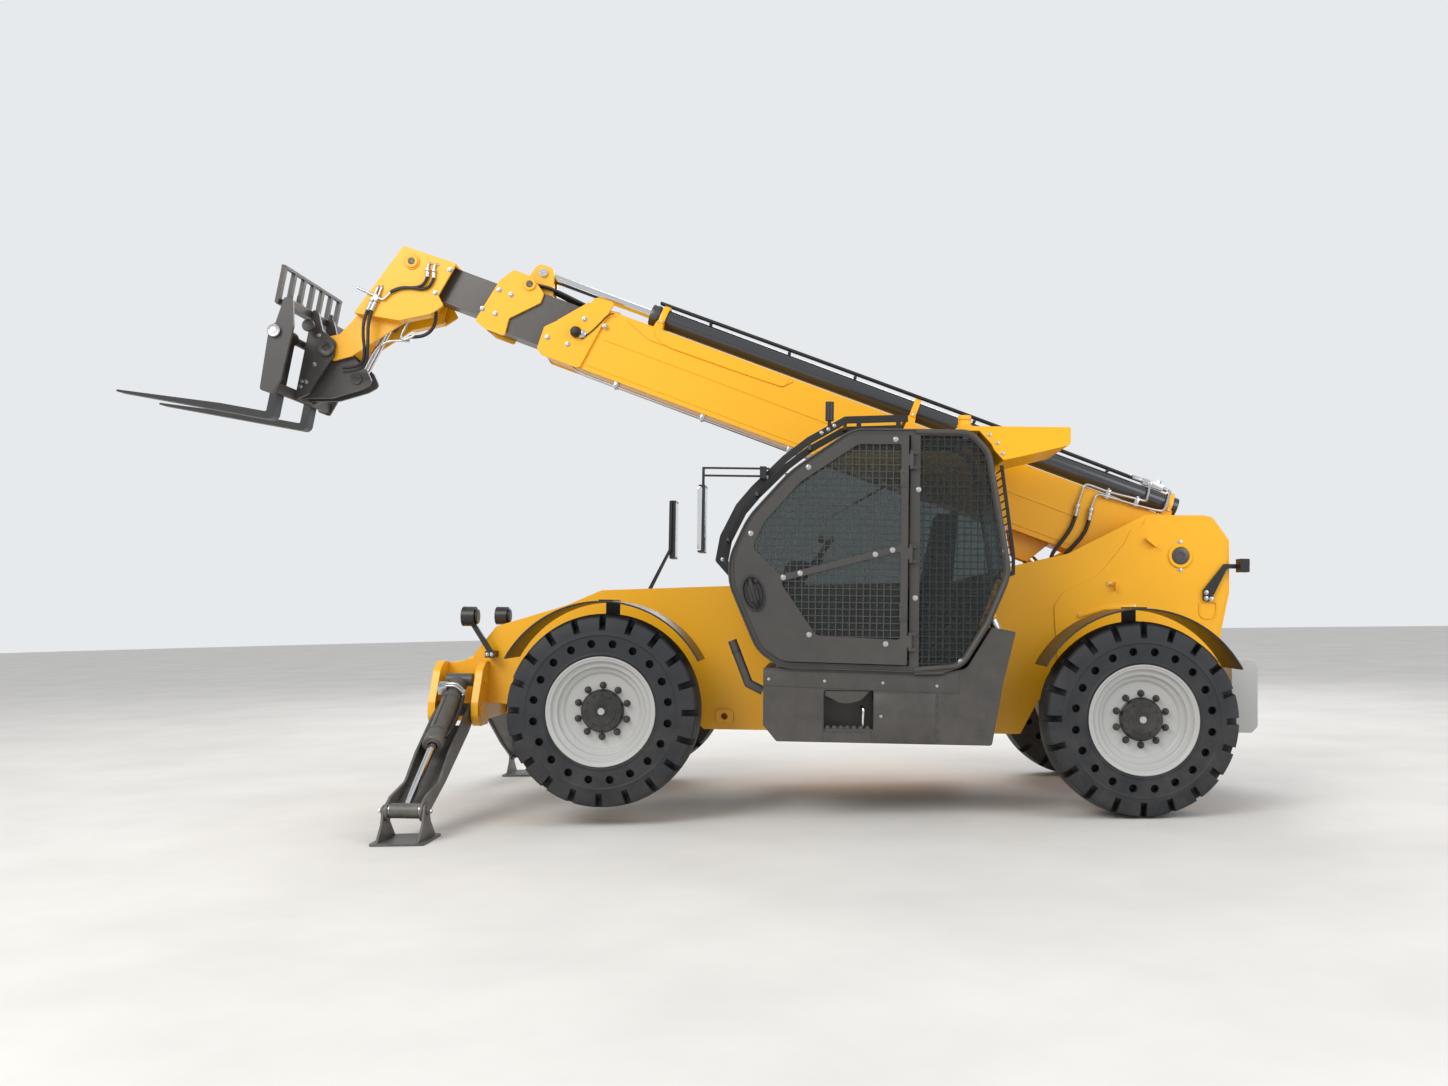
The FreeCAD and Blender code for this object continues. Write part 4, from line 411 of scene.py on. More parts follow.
def build_ageing_group():
    tree = bpy.data.node_groups.new("surface_age", "ShaderNodeTree")
    sockets = (("Colour", "NodeSocketColor"), ("Bare Colour", "NodeSocketColor"),
        ("Dust Colour", "NodeSocketColor"), ("Gloss", "NodeSocketFloat"),
        ("Mottle", "NodeSocketFloat"), ("Bare Edges", "NodeSocketFloat"),
        ("Dust", "NodeSocketFloat"), ("Grain", "NodeSocketFloat"),
        ("Grain Size", "NodeSocketFloat"), ("Edge Radius", "NodeSocketFloat"))
    for name, kind in sockets:
        tree.interface.new_socket(name=name, in_out="INPUT", socket_type=kind)
    for name, kind in (("Colour", "NodeSocketColor"), ("Roughness", "NodeSocketFloat"),
            ("Normal", "NodeSocketVector")):
        tree.interface.new_socket(name=name, in_out="OUTPUT", socket_type=kind)
    given = tree.nodes.new("NodeGroupInput").outputs
    result = tree.nodes.new("NodeGroupOutput").inputs
    place = tree.nodes.new("ShaderNodeTexCoord").outputs["Object"]
    facing = tree.nodes.new("ShaderNodeNewGeometry").outputs["Normal"]

    cloud = noise(tree, place, 1.3, 4.0)
    speck = noise(tree, place, 55.0, 4.0, 0.7)
    # Uneven colour: brighter and darker clouds with fine specks in them.
    shade = number(tree, "MULTIPLY", number(tree, "SUBTRACT", number(tree, "ADD", cloud,
        number(tree, "MULTIPLY", speck, 0.35)), 0.67), given["Mottle"])
    toned = tree.nodes.new("ShaderNodeHueSaturation")
    link(tree, number(tree, "ADD", shade, 1.0), toned.inputs["Value"])
    link(tree, given["Colour"], toned.inputs["Color"])
    # Edges: where the rounded normal leaves the face's own.
    rounded = tree.nodes.new("ShaderNodeBevel")
    rounded.samples = 3
    link(tree, given["Edge Radius"], rounded.inputs["Radius"])
    apart = tree.nodes.new("ShaderNodeVectorMath")
    apart.operation = "DOT_PRODUCT"
    link(tree, rounded.outputs["Normal"], apart.inputs[0])
    link(tree, facing, apart.inputs[1])
    edge = clamped_range(tree, apart.outputs["Value"], 0.985, 0.90)
    chips = clamped_range(tree, noise(tree, place, 38.0, 5.0, 0.75), 0.50, 0.62)
    bare = number(tree, "MULTIPLY", number(tree, "MULTIPLY", edge, chips), given["Bare Edges"])
    worn = mixed(tree, bare, toned.outputs["Color"], given["Bare Colour"])
    # Dust: on faces that look up, and more of it near the ground.
    axes = tree.nodes.new("ShaderNodeSeparateXYZ")
    link(tree, facing, axes.inputs[0])
    heights = tree.nodes.new("ShaderNodeSeparateXYZ")
    link(tree, place, heights.inputs[0])
    lying = clamped_range(tree, axes.outputs["Z"], 0.2, 1.0, 0.12, 1.0)
    low_down = clamped_range(tree, heights.outputs["Z"], 1.3, 0.1, 0.15, 0.9)
    patches = clamped_range(tree, noise(tree, place, 6.0, 6.0, 0.7), 0.38, 0.72)
    dusty = number(tree, "MULTIPLY", number(tree, "MULTIPLY", number(tree, "MAXIMUM",
        number(tree, "MULTIPLY", lying, 0.6), low_down), patches), given["Dust"])
    final = mixed(tree, dusty, worn, given["Dust Colour"])
    link(tree, final, result["Colour"])
    rough = number(tree, "ADD", given["Gloss"], number(tree, "MULTIPLY",
        number(tree, "SUBTRACT", speck, 0.5), 0.12))
    rough = number(tree, "ADD", rough, number(tree, "MULTIPLY", dusty, 0.35))
    link(tree, number(tree, "MINIMUM", number(tree, "MAXIMUM", rough, 0.03), 1.0),
        result["Roughness"])
    bump = tree.nodes.new("ShaderNodeBump")
    bump.inputs["Distance"].default_value = 0.0015
    grain = tree.nodes.new("ShaderNodeTexNoise")
    grain.inputs["Detail"].default_value = 3.0
    link(tree, place, grain.inputs["Vector"])
    link(tree, given["Grain Size"], grain.inputs["Scale"])
    link(tree, given["Grain"], bump.inputs["Strength"])
    link(tree, grain.outputs["Fac"], bump.inputs["Height"])
    link(tree, rounded.outputs["Normal"], bump.inputs["Normal"])
    link(tree, bump.outputs["Normal"], result["Normal"])
    return tree


FINISHES = [
    # name, slot, colour, bare colour, gloss, metal, coat, mottle, bare edges, dust, grain, grain size, edge radius
    ("yellow_paint", "yellow", (0.95, 0.455, 0.003), (0.45, 0.25, 0.06), 0.36, 0.0, 0.12, 0.06,
        0.06, 0.04, 0.08, 220, 0.005),
    ("grey_paint", "dark_grey", (0.052, 0.048, 0.045), (0.16, 0.15, 0.14), 0.42, 0.0, 0.05, 0.20,
        0.30, 0.14, 0.12, 260, 0.004),
    ("black_paint", "black", (0.012, 0.012, 0.013), (0.09, 0.09, 0.09), 0.38, 0.0, 0.05, 0.20,
        0.25, 0.18, 0.10, 240, 0.003),
    ("leg_paint", "dark_grey", (0.070, 0.068, 0.066), (0.30, 0.28, 0.26), 0.42, 0.0, 0.05, 0.30,
        0.60, 0.30, 0.18, 180, 0.004),
    ("rim_paint", "pale_grey", (0.44, 0.44, 0.43), (0.25, 0.24, 0.23), 0.40, 0.0, 0.10, 0.16, 0.20,
        0.14, 0.10, 200, 0.004),
    ("tyre_rubber", "tyre", (0.010, 0.012, 0.016), (0.03, 0.03, 0.03), 0.60, 0.0, 0.0, 0.40, 0.10,
        0.10, 0.35, 120, 0.006),
    ("hose_rubber", "black", (0.014, 0.014, 0.015), (0.05, 0.05, 0.05), 0.50, 0.0, 0.0, 0.20, 0.05,
        0.10, 0.20, 400, 0.001),
    ("bright_steel", "steel", (0.55, 0.55, 0.56), (0.40, 0.38, 0.36), 0.30, 1.0, 0.0, 0.20, 0.30,
        0.05, 0.10, 500, 0.001),
    ("chrome_rod", "chrome", (0.72, 0.73, 0.75), (0.5, 0.5, 0.5), 0.10, 1.0, 0.0, 0.05, 0.0, 0.02,
        0.02, 500, 0.001),
    ("pin_steel", "black", (0.10, 0.10, 0.10), (0.35, 0.33, 0.30), 0.38, 0.8, 0.0, 0.30, 0.50,
        0.12, 0.15, 300, 0.002),
    ("cast_iron", "black", (0.05, 0.05, 0.055), (0.2, 0.2, 0.2), 0.55, 0.3, 0.0, 0.30, 0.30, 0.30,
        0.50, 160, 0.004),
    ("cab_plastic", "black", (0.020, 0.020, 0.021), (0.05, 0.05, 0.05), 0.55, 0.0, 0.0, 0.15, 0.05,
        0.06, 0.25, 500, 0.003),
    ("seat_cloth", "cabin", (0.030, 0.031, 0.034), (0.05, 0.05, 0.05), 0.85, 0.0, 0.0, 0.30, 0.0,
        0.10, 0.60, 600, 0.01),
    ("slide_steel", "dark_grey", (0.085, 0.080, 0.076), (0.25, 0.24, 0.22), 0.30, 0.55, 0.0, 0.35,
        0.20, 0.06, 0.10, 60, 0.002),
    ("barrel_steel", "dark_grey", (0.075, 0.078, 0.085), (0.2, 0.2, 0.2), 0.22, 0.65, 0.10, 0.15,
        0.10, 0.04, 0.04, 200, 0.002),
    ("mirror_face", "chrome", (0.85, 0.87, 0.88), (0.8, 0.8, 0.8), 0.04, 1.0, 0.0, 0.02, 0.0, 0.02,
        0.0, 100, 0.001),
]
CLEAR_FINISHES = [
    # name, slot, colour, gloss, clearness
    ("cab_glass", "glass", (0.27, 0.31, 0.31), 0.03, 0.90),
    ("lamp_lens", "glass", (0.95, 0.95, 0.95), 0.06, 0.7),
    ("amber_lens", "black", (1.0, 0.42, 0.02), 0.12, 0.35),
    ("red_lens", "black", (0.55, 0.02, 0.01), 0.12, 0.3),
]
# The paints whose colour is one of the machine's settings.
PAINT_SETTINGS = {"yellow_paint": "body_colour", "grey_paint": "cab_colour",
    "rim_paint": "rim_colour"}
DUST_COLOUR = (0.40, 0.35, 0.28, 1)


def new_material(name):
    """An empty material's node tree and its surface node."""
    material = MATERIALS[name] = bpy.data.materials.new(name)
    material.use_nodes = True
    return material.node_tree, material.node_tree.nodes["Principled BSDF"]


def build_finishes():
    """Make one material for each row of the two tables."""
    ageing = build_ageing_group()
    for row in FINISHES:
        name, slot, colour, bare, gloss, metal, coat, mottle, edges, dust, grain, size, radius = row
        if name in PAINT_SETTINGS:
            colour = getattr(settings(), PAINT_SETTINGS[name])
        tree, surface = new_material(name)
        aged = tree.nodes.new("ShaderNodeGroup")
        aged.node_tree = ageing
        values = {"Colour": (*colour, 1), "Bare Colour": (*bare, 1), "Dust Colour": DUST_COLOUR,
            "Gloss": gloss, "Mottle": mottle, "Bare Edges": edges, "Dust": dust, "Grain": grain,
            "Grain Size": size, "Edge Radius": radius}
        for socket, value in values.items():
            aged.inputs[socket].default_value = value
        link(tree, aged.outputs["Colour"], surface.inputs["Base Color"])
        link(tree, aged.outputs["Roughness"], surface.inputs["Roughness"])
        link(tree, aged.outputs["Normal"], surface.inputs["Normal"])
        surface.inputs["Metallic"].default_value = metal
        surface.inputs["Coat Weight"].default_value = coat
        surface.inputs["Coat Roughness"].default_value = 0.15
    for name, slot, colour, gloss, clearness in CLEAR_FINISHES:
        clear_material(name, colour, gloss, clearness)


def clear_material(name, colour, gloss, clearness):
    """Glass or a lens: clear, with a faint film of dust on it."""
    tree, surface = new_material(name)
    place = tree.nodes.new("ShaderNodeTexCoord").outputs["Object"]
    film = clamped_range(tree, noise(tree, place, 9.0, 5.0, 0.7), 0.35, 0.85, gloss, gloss + 0.10)
    surface.inputs["Base Color"].default_value = (*colour, 1)
    link(tree, film, surface.inputs["Roughness"])
    surface.inputs["Transmission Weight"].default_value = clearness
    surface.inputs["IOR"].default_value = 1.12 if clearness > 0.8 else 1.45


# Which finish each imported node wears.
NODE_FINISH = {"yellow_paint": ["frame_plates", "nose", "boom_outer", "boom_mid", "boom_head",
    "roof_cover", "engine_tub", "engine_hood"], "grey_paint": ["frame_cross", "axles", "coupler",
    "fork_frame", "cab_frame", "cab_door", "step_box"] + [f"knuckle_{end}_{side}"
    for end in ("front", "rear") for side in ("left", "right")], "slide_steel": ["boom_inner"],
    "barrel_steel": ["extend_barrel"], "black_paint": ["forks", "lift_barrel", "tilt_barrel",
    "cab_guard", "lamps", "mirrors"] + [f"fender_{end}_{side}" for end in ("front", "rear")
    for side in ("left", "right")], "leg_paint": [f"{part}_{side}"
    for part in ("leg", "leg_barrel", "foot") for side in ("left", "right")],
    "chrome_rod": ["extend_rod", "lift_rod", "tilt_rod", "leg_rod_left", "leg_rod_right"],
    "rim_paint": ["counterweight"] + [f"rim_{end}_{side}" for end in ("front", "rear")
    for side in ("left", "right")], "tyre_rubber": [f"tyre_{end}_{side}"
    for end in ("front", "rear") for side in ("left", "right")],
    "cab_glass": ["cab_glass", "door_glass"], "cab_plastic": ["cab_interior"],
    "cast_iron": ["engine"]}


def colour_setting(name, description, default):
    return bpy.props.FloatVectorProperty(name=name, description=description, subtype="COLOR",
        size=3, default=default, min=0.0, max=1.0)


def length_setting(name, description, default, low=0.004, high=0.03):
    return bpy.props.FloatProperty(name=name, description=description, default=default, min=low,
        max=high, unit="LENGTH")


class MachineSettings(bpy.types.PropertyGroup):
    """Colours and sizes that someone would change on this machine."""

    body_colour: colour_setting("Body colour", "Paint of the boom, frame and covers",
        (0.95, 0.455, 0.003))
    cab_colour: colour_setting("Cab colour", "Paint of the cab, step box and carriage",
        (0.052, 0.048, 0.045))
    rim_colour: colour_setting("Rim colour", "Paint of the wheel rims", (0.44, 0.44, 0.43))
    floor_colour: colour_setting("Floor colour", "Pale floor under the machine",
        (0.72, 0.70, 0.67))
    lug_count: bpy.props.IntProperty(name="Lugs a side",
        description="Shoulder lugs on each side of a tyre", default=20, min=8, max=40)
    lug_depth: length_setting("Lug depth", "Depth of the grooves at a tyre's shoulder", 0.105,
        0.02, 0.15)
    hose_radius: length_setting("Hose radius", "Outer radius of the hoses on the boom head",
        0.0105)
    pipe_radius: length_setting("Pipe radius", "Outer radius of the steel pipes along the boom",
        0.009)
    bolt_radius: length_setting("Bolt radius", "Radius of the domed screws on the cab", 0.0115)


def settings():
    return bpy.context.scene.machine_settings


class MACHINE_OT_finishes(bpy.types.Operator):
    """Build the paints, rubbers, steels and glass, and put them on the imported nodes"""

    bl_idname = "machine.finishes"
    bl_label = "Finishes"

    def execute(self, context):
        build_finishes()
        for finish, nodes in NODE_FINISH.items():
            for node in nodes:
                coated(NODES[node], finish)
        return {"FINISHED"}


# The photograph's camera, in the machine's frame.
CAMERA_PLACE = (0.990, -9.157, 1.311)
CAMERA_YAW = -0.014743
CAMERA_PITCH = 0.051241
CAMERA_ROLL = 0.017976
CAMERA_LENS = 32.18
CAMERA_SHIFT = -0.0535


def camera_matrix():
    cy, sy = math.cos(CAMERA_YAW), math.sin(CAMERA_YAW)
    cp, sp = math.cos(CAMERA_PITCH), math.sin(CAMERA_PITCH)
    cr, sr = math.cos(CAMERA_ROLL), math.sin(CAMERA_ROLL)
    ahead = Vector((sy * cp, cy * cp, sp))
    right = Vector((cy, -sy, 0.0))
    up = right.cross(ahead)
    across = cr * right - sr * up
    upward = sr * right + cr * up
    turn = Matrix((across, upward, -ahead)).transposed()
    return Matrix.Translation(CAMERA_PLACE) @ turn.to_4x4()


class MACHINE_OT_stage(bpy.types.Operator):
    """Add the camera, a pale floor and soft light from a wide sky"""

    bl_idname = "machine.stage"
    bl_label = "Stage"

    def execute(self, context):
        bpy.ops.object.select_all(action="DESELECT")
        bpy.ops.object.camera_add()
        camera = bpy.context.active_object
        camera.name = "photo_camera"
        camera.matrix_world = camera_matrix()
        camera.data.lens = CAMERA_LENS
        camera.data.sensor_width = 36.0
        camera.data.shift_x = CAMERA_SHIFT
        camera.data.clip_end = 200.0
        context.scene.camera = camera

        bpy.ops.object.select_all(action="DESELECT")
        bpy.ops.mesh.primitive_circle_add(vertices=96, radius=60, fill_type="NGON")
        floor = added("floor")
        self.floor_material()
        coated(floor, "pale_floor")

        self.sky()
        self.lamp("key_light", (-7.0, -11.0, 10.5), (0.3, 0.0, 1.3), 9.0, 1350.0,
            (1.0, 0.985, 0.96))
        self.lamp("fill_light", (10.0, -8.0, 6.0), (0.5, 0.0, 1.0), 8.0, 420.0, (0.97, 0.98, 1.0))
        self.lamp("back_light", (2.0, 10.0, 8.0), (0.0, 0.0, 1.5), 8.0, 620.0, (0.97, 0.98, 1.0))
        context.scene.view_settings.view_transform = "Standard"
        return {"FINISHED"}

    def floor_material(self):
        tree, surface = new_material("pale_floor")
        place = tree.nodes.new("ShaderNodeTexCoord").outputs["Object"]
        colour = settings().floor_colour
        pale = tuple(min(1.0, c * 1.06) for c in colour)
        worn = tuple(c * 0.93 for c in colour)
        drift = clamped_range(tree, noise(tree, place, 0.8, 6.0, 0.6), 0.3, 0.7)
        link(tree, mixed(tree, drift, (*pale, 1), (*worn, 1)), surface.inputs["Base Color"])
        surface.inputs["Roughness"].default_value = 0.85
        bump = tree.nodes.new("ShaderNodeBump")
        bump.inputs["Strength"].default_value = 0.15
        bump.inputs["Distance"].default_value = 0.004
        link(tree, noise(tree, place, 30.0, 5.0, 0.6), bump.inputs["Height"])
        link(tree, bump.outputs["Normal"], surface.inputs["Normal"])

    def sky(self):
        """Light from all round at a plain level; the camera sees a pale backdrop."""
        world = bpy.data.worlds.new("soft_sky")
        bpy.context.scene.world = world
        world.use_nodes = True
        tree = world.node_tree
        light = tree.nodes["Background"]
        light.inputs["Color"].default_value = (0.96, 0.98, 1.0, 1)
        light.inputs["Strength"].default_value = 0.70
        seen = tree.nodes.new("ShaderNodeBackground")
        seen.inputs["Color"].default_value = (0.80, 0.82, 0.84, 1)
        rays = tree.nodes.new("ShaderNodeLightPath")
        choice = tree.nodes.new("ShaderNodeMixShader")
        link(tree, number(tree, "MAXIMUM", rays.outputs["Is Camera Ray"],
            rays.outputs["Is Transmission Ray"]), choice.inputs[0])
        link(tree, light.outputs[0], choice.inputs[1])
        link(tree, seen.outputs[0], choice.inputs[2])
        link(tree, choice.outputs[0], tree.nodes["World Output"].inputs["Surface"])

    def lamp(self, name, place, target, size, power, colour):
        bpy.ops.object.select_all(action="DESELECT")
        bpy.ops.object.light_add(type="AREA", location=place)
        lamp = bpy.context.active_object
        lamp.name = name
        lamp.data.shape = "DISK"
        lamp.data.size = size
        lamp.data.energy = power
        lamp.data.color = colour
        lamp.rotation_euler = (Vector(target) - Vector(place)).to_track_quat("-Z", "Y").to_euler()


# Wheels. Each is modelled about its own axle, outwards along +Z, and then put
# on its axle end; the right-hand ones are mirror copies.

TYRE_MIDDLE = 1.0225
TYRE_RADIUS = 0.600
HALF_WIDTH = 0.1875
WHEELBASE = 3.31655
WHEELS = [("front", -WHEELBASE), ("rear", 0.0)]


def wheel_place(along):
    return CHASSIS @ at(along, -TYRE_MIDDLE, AXLE_HEIGHT) @ ALONG_Y


def on_all_wheels(piece, name, material, replaced=None):
    """Copy a piece modelled about the axle onto the four wheels."""
    for end, along in WHEELS:
        near = copied(piece, f"{name}_{end}_left", wheel_place(along))
        far = copied(near, f"{name}_{end}_right", MIRROR_Y)
        for obj, side in ((near, "left"), (far, "right")):
            dressed(obj, f"wheel_{end}_{side}", material)
            if replaced:
                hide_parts(f"{replaced}_{end}_{side}")
    bpy.data.objects.remove(piece)


class MACHINE_OT_tyres(bpy.types.Operator):
    """Add the solid tyres with their shoulder lugs and rings of sidewall holes"""

    bl_idname = "machine.tyres"
    bl_label = "Tyres"

    def execute(self, context):
        half = HALF_WIDTH
        face = half + 0.001
        rows = [(0.3185, -half + 0.017), (0.336, -half + 0.004), (0.352, -half - 0.001),
            (0.360, -half + 0.004), (0.462, -half + 0.002), (0.470, -half - 0.003), (0.482, -half),
            (0.505, -half + 0.001), (0.545, -half + 0.006), (0.574, -half + 0.016),
            (0.583, -half + 0.026), (0.592, -0.10), (0.600, -0.045), (0.600, 0.045), (0.592, 0.10),
            (0.583, half - 0.026), (0.574, half - 0.016), (0.545, half - 0.006),
            (0.505, half - 0.001), (0.482, face - 0.001), (0.470, face + 0.002),
            (0.462, half - 0.002), (0.360, half - 0.004), (0.352, face), (0.336, half - 0.004),
            (0.3185, half - 0.017)]
        tyre = spun("tyre_blank", rows, IDENTITY, 120, angle=28)
        carved(tyre, self.grooves() + self.holes())
        smooth(tyre, 28)
        on_all_wheels(tyre, "lugged_tyre", "tyre_rubber", "tyre")
        return {"FINISHED"}

    def grooves(self):
        """One tapered cutter for each gap between lugs, copied round the tyre."""
        depth = settings().lug_depth
        outline = [(-0.019, -0.003), (-0.022, 0.150), (0.022, 0.150), (0.019, -0.003)]
        cutter = plate("groove", outline, -0.066, 0.066, IDENTITY)
        activate(cutter)
        bpy.ops.object.mode_set(mode="EDIT")
        bpy.ops.mesh.select_all(action="DESELECT")
        bpy.ops.object.mode_set(mode="OBJECT")
        for vertex in cutter.data.vertices:
            vertex.select = vertex.co.y < 0 and vertex.co.z < 0.05
        bpy.ops.object.mode_set(mode="EDIT")
        bpy.ops.transform.translate(value=(0, 0, 0.052))
        bpy.ops.object.mode_set(mode="OBJECT")
        # The cutter's z is the way out from the axle and its y the way across.
        axes = Matrix(((0, 0, 1, 0), (1, 0, 0, 0), (0, 1, 0, 0), (0, 0, 0, 1)))
        shoulder = at(TYRE_RADIUS - depth, 0, HALF_WIDTH - 0.055) @ axes
        count = settings().lug_count
        return copies_of(cutter, [turned(360 * (k + part) / count, "Z")
            @ Matrix.Scale(side, 4, (0, 0, 1)) @ shoulder for k in range(count) for side,
            part in ((1, 0.0), (-1, 0.5))])

    def holes(self):
        """A ring of round cutters on each side."""
        drill = drum("sidewall_drill", 0.025, 0.12, IDENTITY, 14)
        count = settings().lug_count
        return copies_of(drill, [turned(360 * (k + 0.5) / count, "Z")
            @ at(0.418, 0, side * (HALF_WIDTH - 0.02)) for k in range(count) for side in (1, -1)])


class MACHINE_OT_rims(bpy.types.Operator):
    """Add the pressed rims, planetary hubs, wheel nuts and hub caps"""

    bl_idname = "machine.rims"
    bl_label = "Rims and hubs"

    def execute(self, context):
        half = HALF_WIDTH
        disc = half - 0.086
        rows = [(0.3175, -half + 0.017), (0.334, -half + 0.004), (0.337, -half - 0.003),
            (0.333, -half - 0.006), (0.322, -half + 0.003), (0.306, -half + 0.012),
            (0.300, -half + 0.030), (0.300, disc - 0.010), (0.120, disc - 0.010), (0.120, disc),
            (0.222, disc), (0.230, disc + 0.003), (0.238, disc + 0.014), (0.246, disc + 0.020),
            (0.262, disc + 0.022), (0.268, disc + 0.026), (0.272, disc + 0.048),
            (0.277, disc + 0.053), (0.298, disc + 0.055), (0.303, disc + 0.060),
            (0.307, disc + 0.078), (0.313, disc + 0.084), (0.320, half - 0.001),
            (0.327, half + 0.005), (0.334, half + 0.007), (0.338, half + 0.003),
            (0.334, half - 0.004), (0.3175, half - 0.017)]
        shell = spun("rim_blank", rows, IDENTITY, 72, angle=24)
        on_all_wheels(shell, "pressed_rim", "rim_paint", "rim")

        hub_rows = [(0.0, disc - 0.001), (0.134, disc - 0.001), (0.134, disc + 0.010),
            (0.128, disc + 0.015), (0.126, disc + 0.042), (0.119, disc + 0.050),
            (0.090, disc + 0.052), (0.087, disc + 0.055), (0.040, disc + 0.056),
            (0.037, disc + 0.053), (0.0, disc + 0.053)]
        hub = spun("hub_blank", hub_rows, IDENTITY, 64, closed=False, angle=26)
        on_all_wheels(hub, "wheel_hub", "black_paint")

        cap = spun("cap_blank", [(0.0, disc + 0.052), (0.0225, disc + 0.052),
            (0.0225, disc + 0.062), (0.020, disc + 0.065), (0.012, disc + 0.066),
            (0.0, disc + 0.066)], IDENTITY, 24, closed=False)
        on_all_wheels(cap, "hub_cap", "bright_steel")
        on_all_wheels(self.nuts(disc), "wheel_nuts", "black_paint")
        return {"FINISHED"}

    def nuts(self, disc):
        """Ten wheel nuts on their washers and a ring of small hub bolts."""
        nut = drum("nut", 0.0165, 0.026, at(0, 0, 0.013), 6, 0.0015)
        washer = drum("washer", 0.022, 0.005, at(0, 0, 0.0025), 20, 0.001)
        stud = drum("stud", 0.009, 0.044, at(0, 0, 0.022), 12, 0.0015)
        one = joined("nut_set", [nut, washer, stud])
        nuts = copies_of(one, [turned(36 * (k + 0.5), "Z") @ at(0.158, 0, disc)
            for k in range(10)])
        small = drum("hub_bolt", 0.007, 0.009, at(0, 0, 0.0045), 6, 0.001)
        bolts = copies_of(small, [turned(30 * k, "Z") @ at(0.104, 0, disc + 0.050)
            for k in range(12)])
        return joined("nut_ring", nuts + bolts)


# Small parts that many pieces share.

SMALL_PIPE = 0.0085

def facing(frame_matrix, x, y, z, side=LEFT):
    """The place of a fastener whose own Z points out of the machine's side."""
    out = ALONG_Y if side == LEFT else turned(-90, "X")
    return frame_matrix @ at(x, y, z) @ out


def bolt(name, radius, proud):
    """A domed cap screw on a washer, its seat at the origin."""
    washer = drum(name + "_washer", radius * 1.45, radius * 0.28, at(0, 0, radius * 0.14), 20,
        radius * 0.08)
    head = spun(name + "_head", [(0.0, 0.0), (radius, 0.0), (radius, proud * 0.62),
        (radius * 0.86, proud * 0.88), (radius * 0.50, proud), (radius * 0.46, proud * 0.78),
        (0.0, proud * 0.74)], IDENTITY, 16, closed=False)
    return joined(name, [washer, head])


def hex_bolt(name, radius, proud):
    """A hexagon head on a washer, its seat at the origin."""
    washer = drum(name + "_washer", radius * 1.4, radius * 0.25, at(0, 0, radius * 0.12), 20,
        radius * 0.06)
    head = drum(name + "_head", radius, proud, at(0, 0, proud / 2), 6, radius * 0.10)
    return joined(name, [washer, head])


def set_of(name, piece, places, body, material="bright_steel"):
    """One mesh of copies of a small piece at several places, on one body."""
    return fixed(name, copies_of(piece, places), body, material)


def fitting(name, start, end, radius, matrix=IDENTITY):
    """A hose end: a crimped sleeve, a hexagon nut and a collar, from start to end."""
    start, end = Vector(start), Vector(end)
    length = (end - start).length
    turn = (end - start).to_track_quat("Z", "Y").to_matrix().to_4x4()
    base = Matrix.Translation(start) @ turn
    crimps = ((0.7, 0.0), (1.35, 0.0), (1.42, 0.08), (1.30, 0.14), (1.42, 0.22), (1.30, 0.30),
        (1.42, 0.40), (1.25, 0.52), (0.7, 0.54))
    sleeve = spun(name + "_sleeve", [(radius * r, length * z) for r, z in crimps], IDENTITY, 16)
    nut = drum(name + "_nut", radius * 1.65, length * 0.26, at(0, 0, length * 0.70), 6,
        radius * 0.12)
    neck = drum(name + "_neck", radius * 0.95, length * 0.5, at(0, 0, length * 0.75), 14)
    return settle(joined(name, [sleeve, nut, neck]), matrix @ base)


def pipe_clamp(name, place, width, height):
    """A two-part clamp block over a pair of pipes, its bolt on top."""
    lower = block(name + "_body", (0.030, width, height), IDENTITY, 0.003)
    cap = block(name + "_plate", (0.032, width + 0.002, 0.004), at(0, 0, height / 2 + 0.002),
        0.001)
    screw = drum(name + "_screw", 0.0075, 0.008, at(0, 0, height / 2 + 0.008), 6, 0.001)
    return settle(joined(name, [lower, cap, screw]), place)


# The boom, its sections and what runs along it.

BOOM_HALF = 0.165
# name, x, z of the bolts on the near side of the two collars and the head
BOOM_BOLTS = [("outer", BOOM_HALF + 0.018, [(-4.418, 0.128), (-4.265, 0.130), (-4.617, -0.084),
    (-4.465, -0.080)], "boom_outer"), ("middle", 0.163, [(-5.064, 0.114), (-4.972, 0.112),
    (-5.127, -0.052), (-5.027, -0.053)], "boom_mid"), ("head", 0.200,
    [(-5.466, -0.067), (-5.430, 0.120)], "boom_inner")]


STRAP_HALF = [(0.078, 0.300), (0.078, 0.352), (0.060, 0.402), (0.030, 0.4255)]
STRAP_TOP = [(0.094, 0.300), (0.094, 0.356), (0.072, 0.414), (0.038, 0.4405)]
STRAP_OUTLINE = ([(-0.094, 0.300)] + [(-x, z) for x, z in STRAP_HALF] + [(0.0, 0.4315)]
    + STRAP_HALF[::-1] + STRAP_TOP + [(0.0, 0.447)] + [(-x, z) for x, z in STRAP_TOP[:0:-1]])


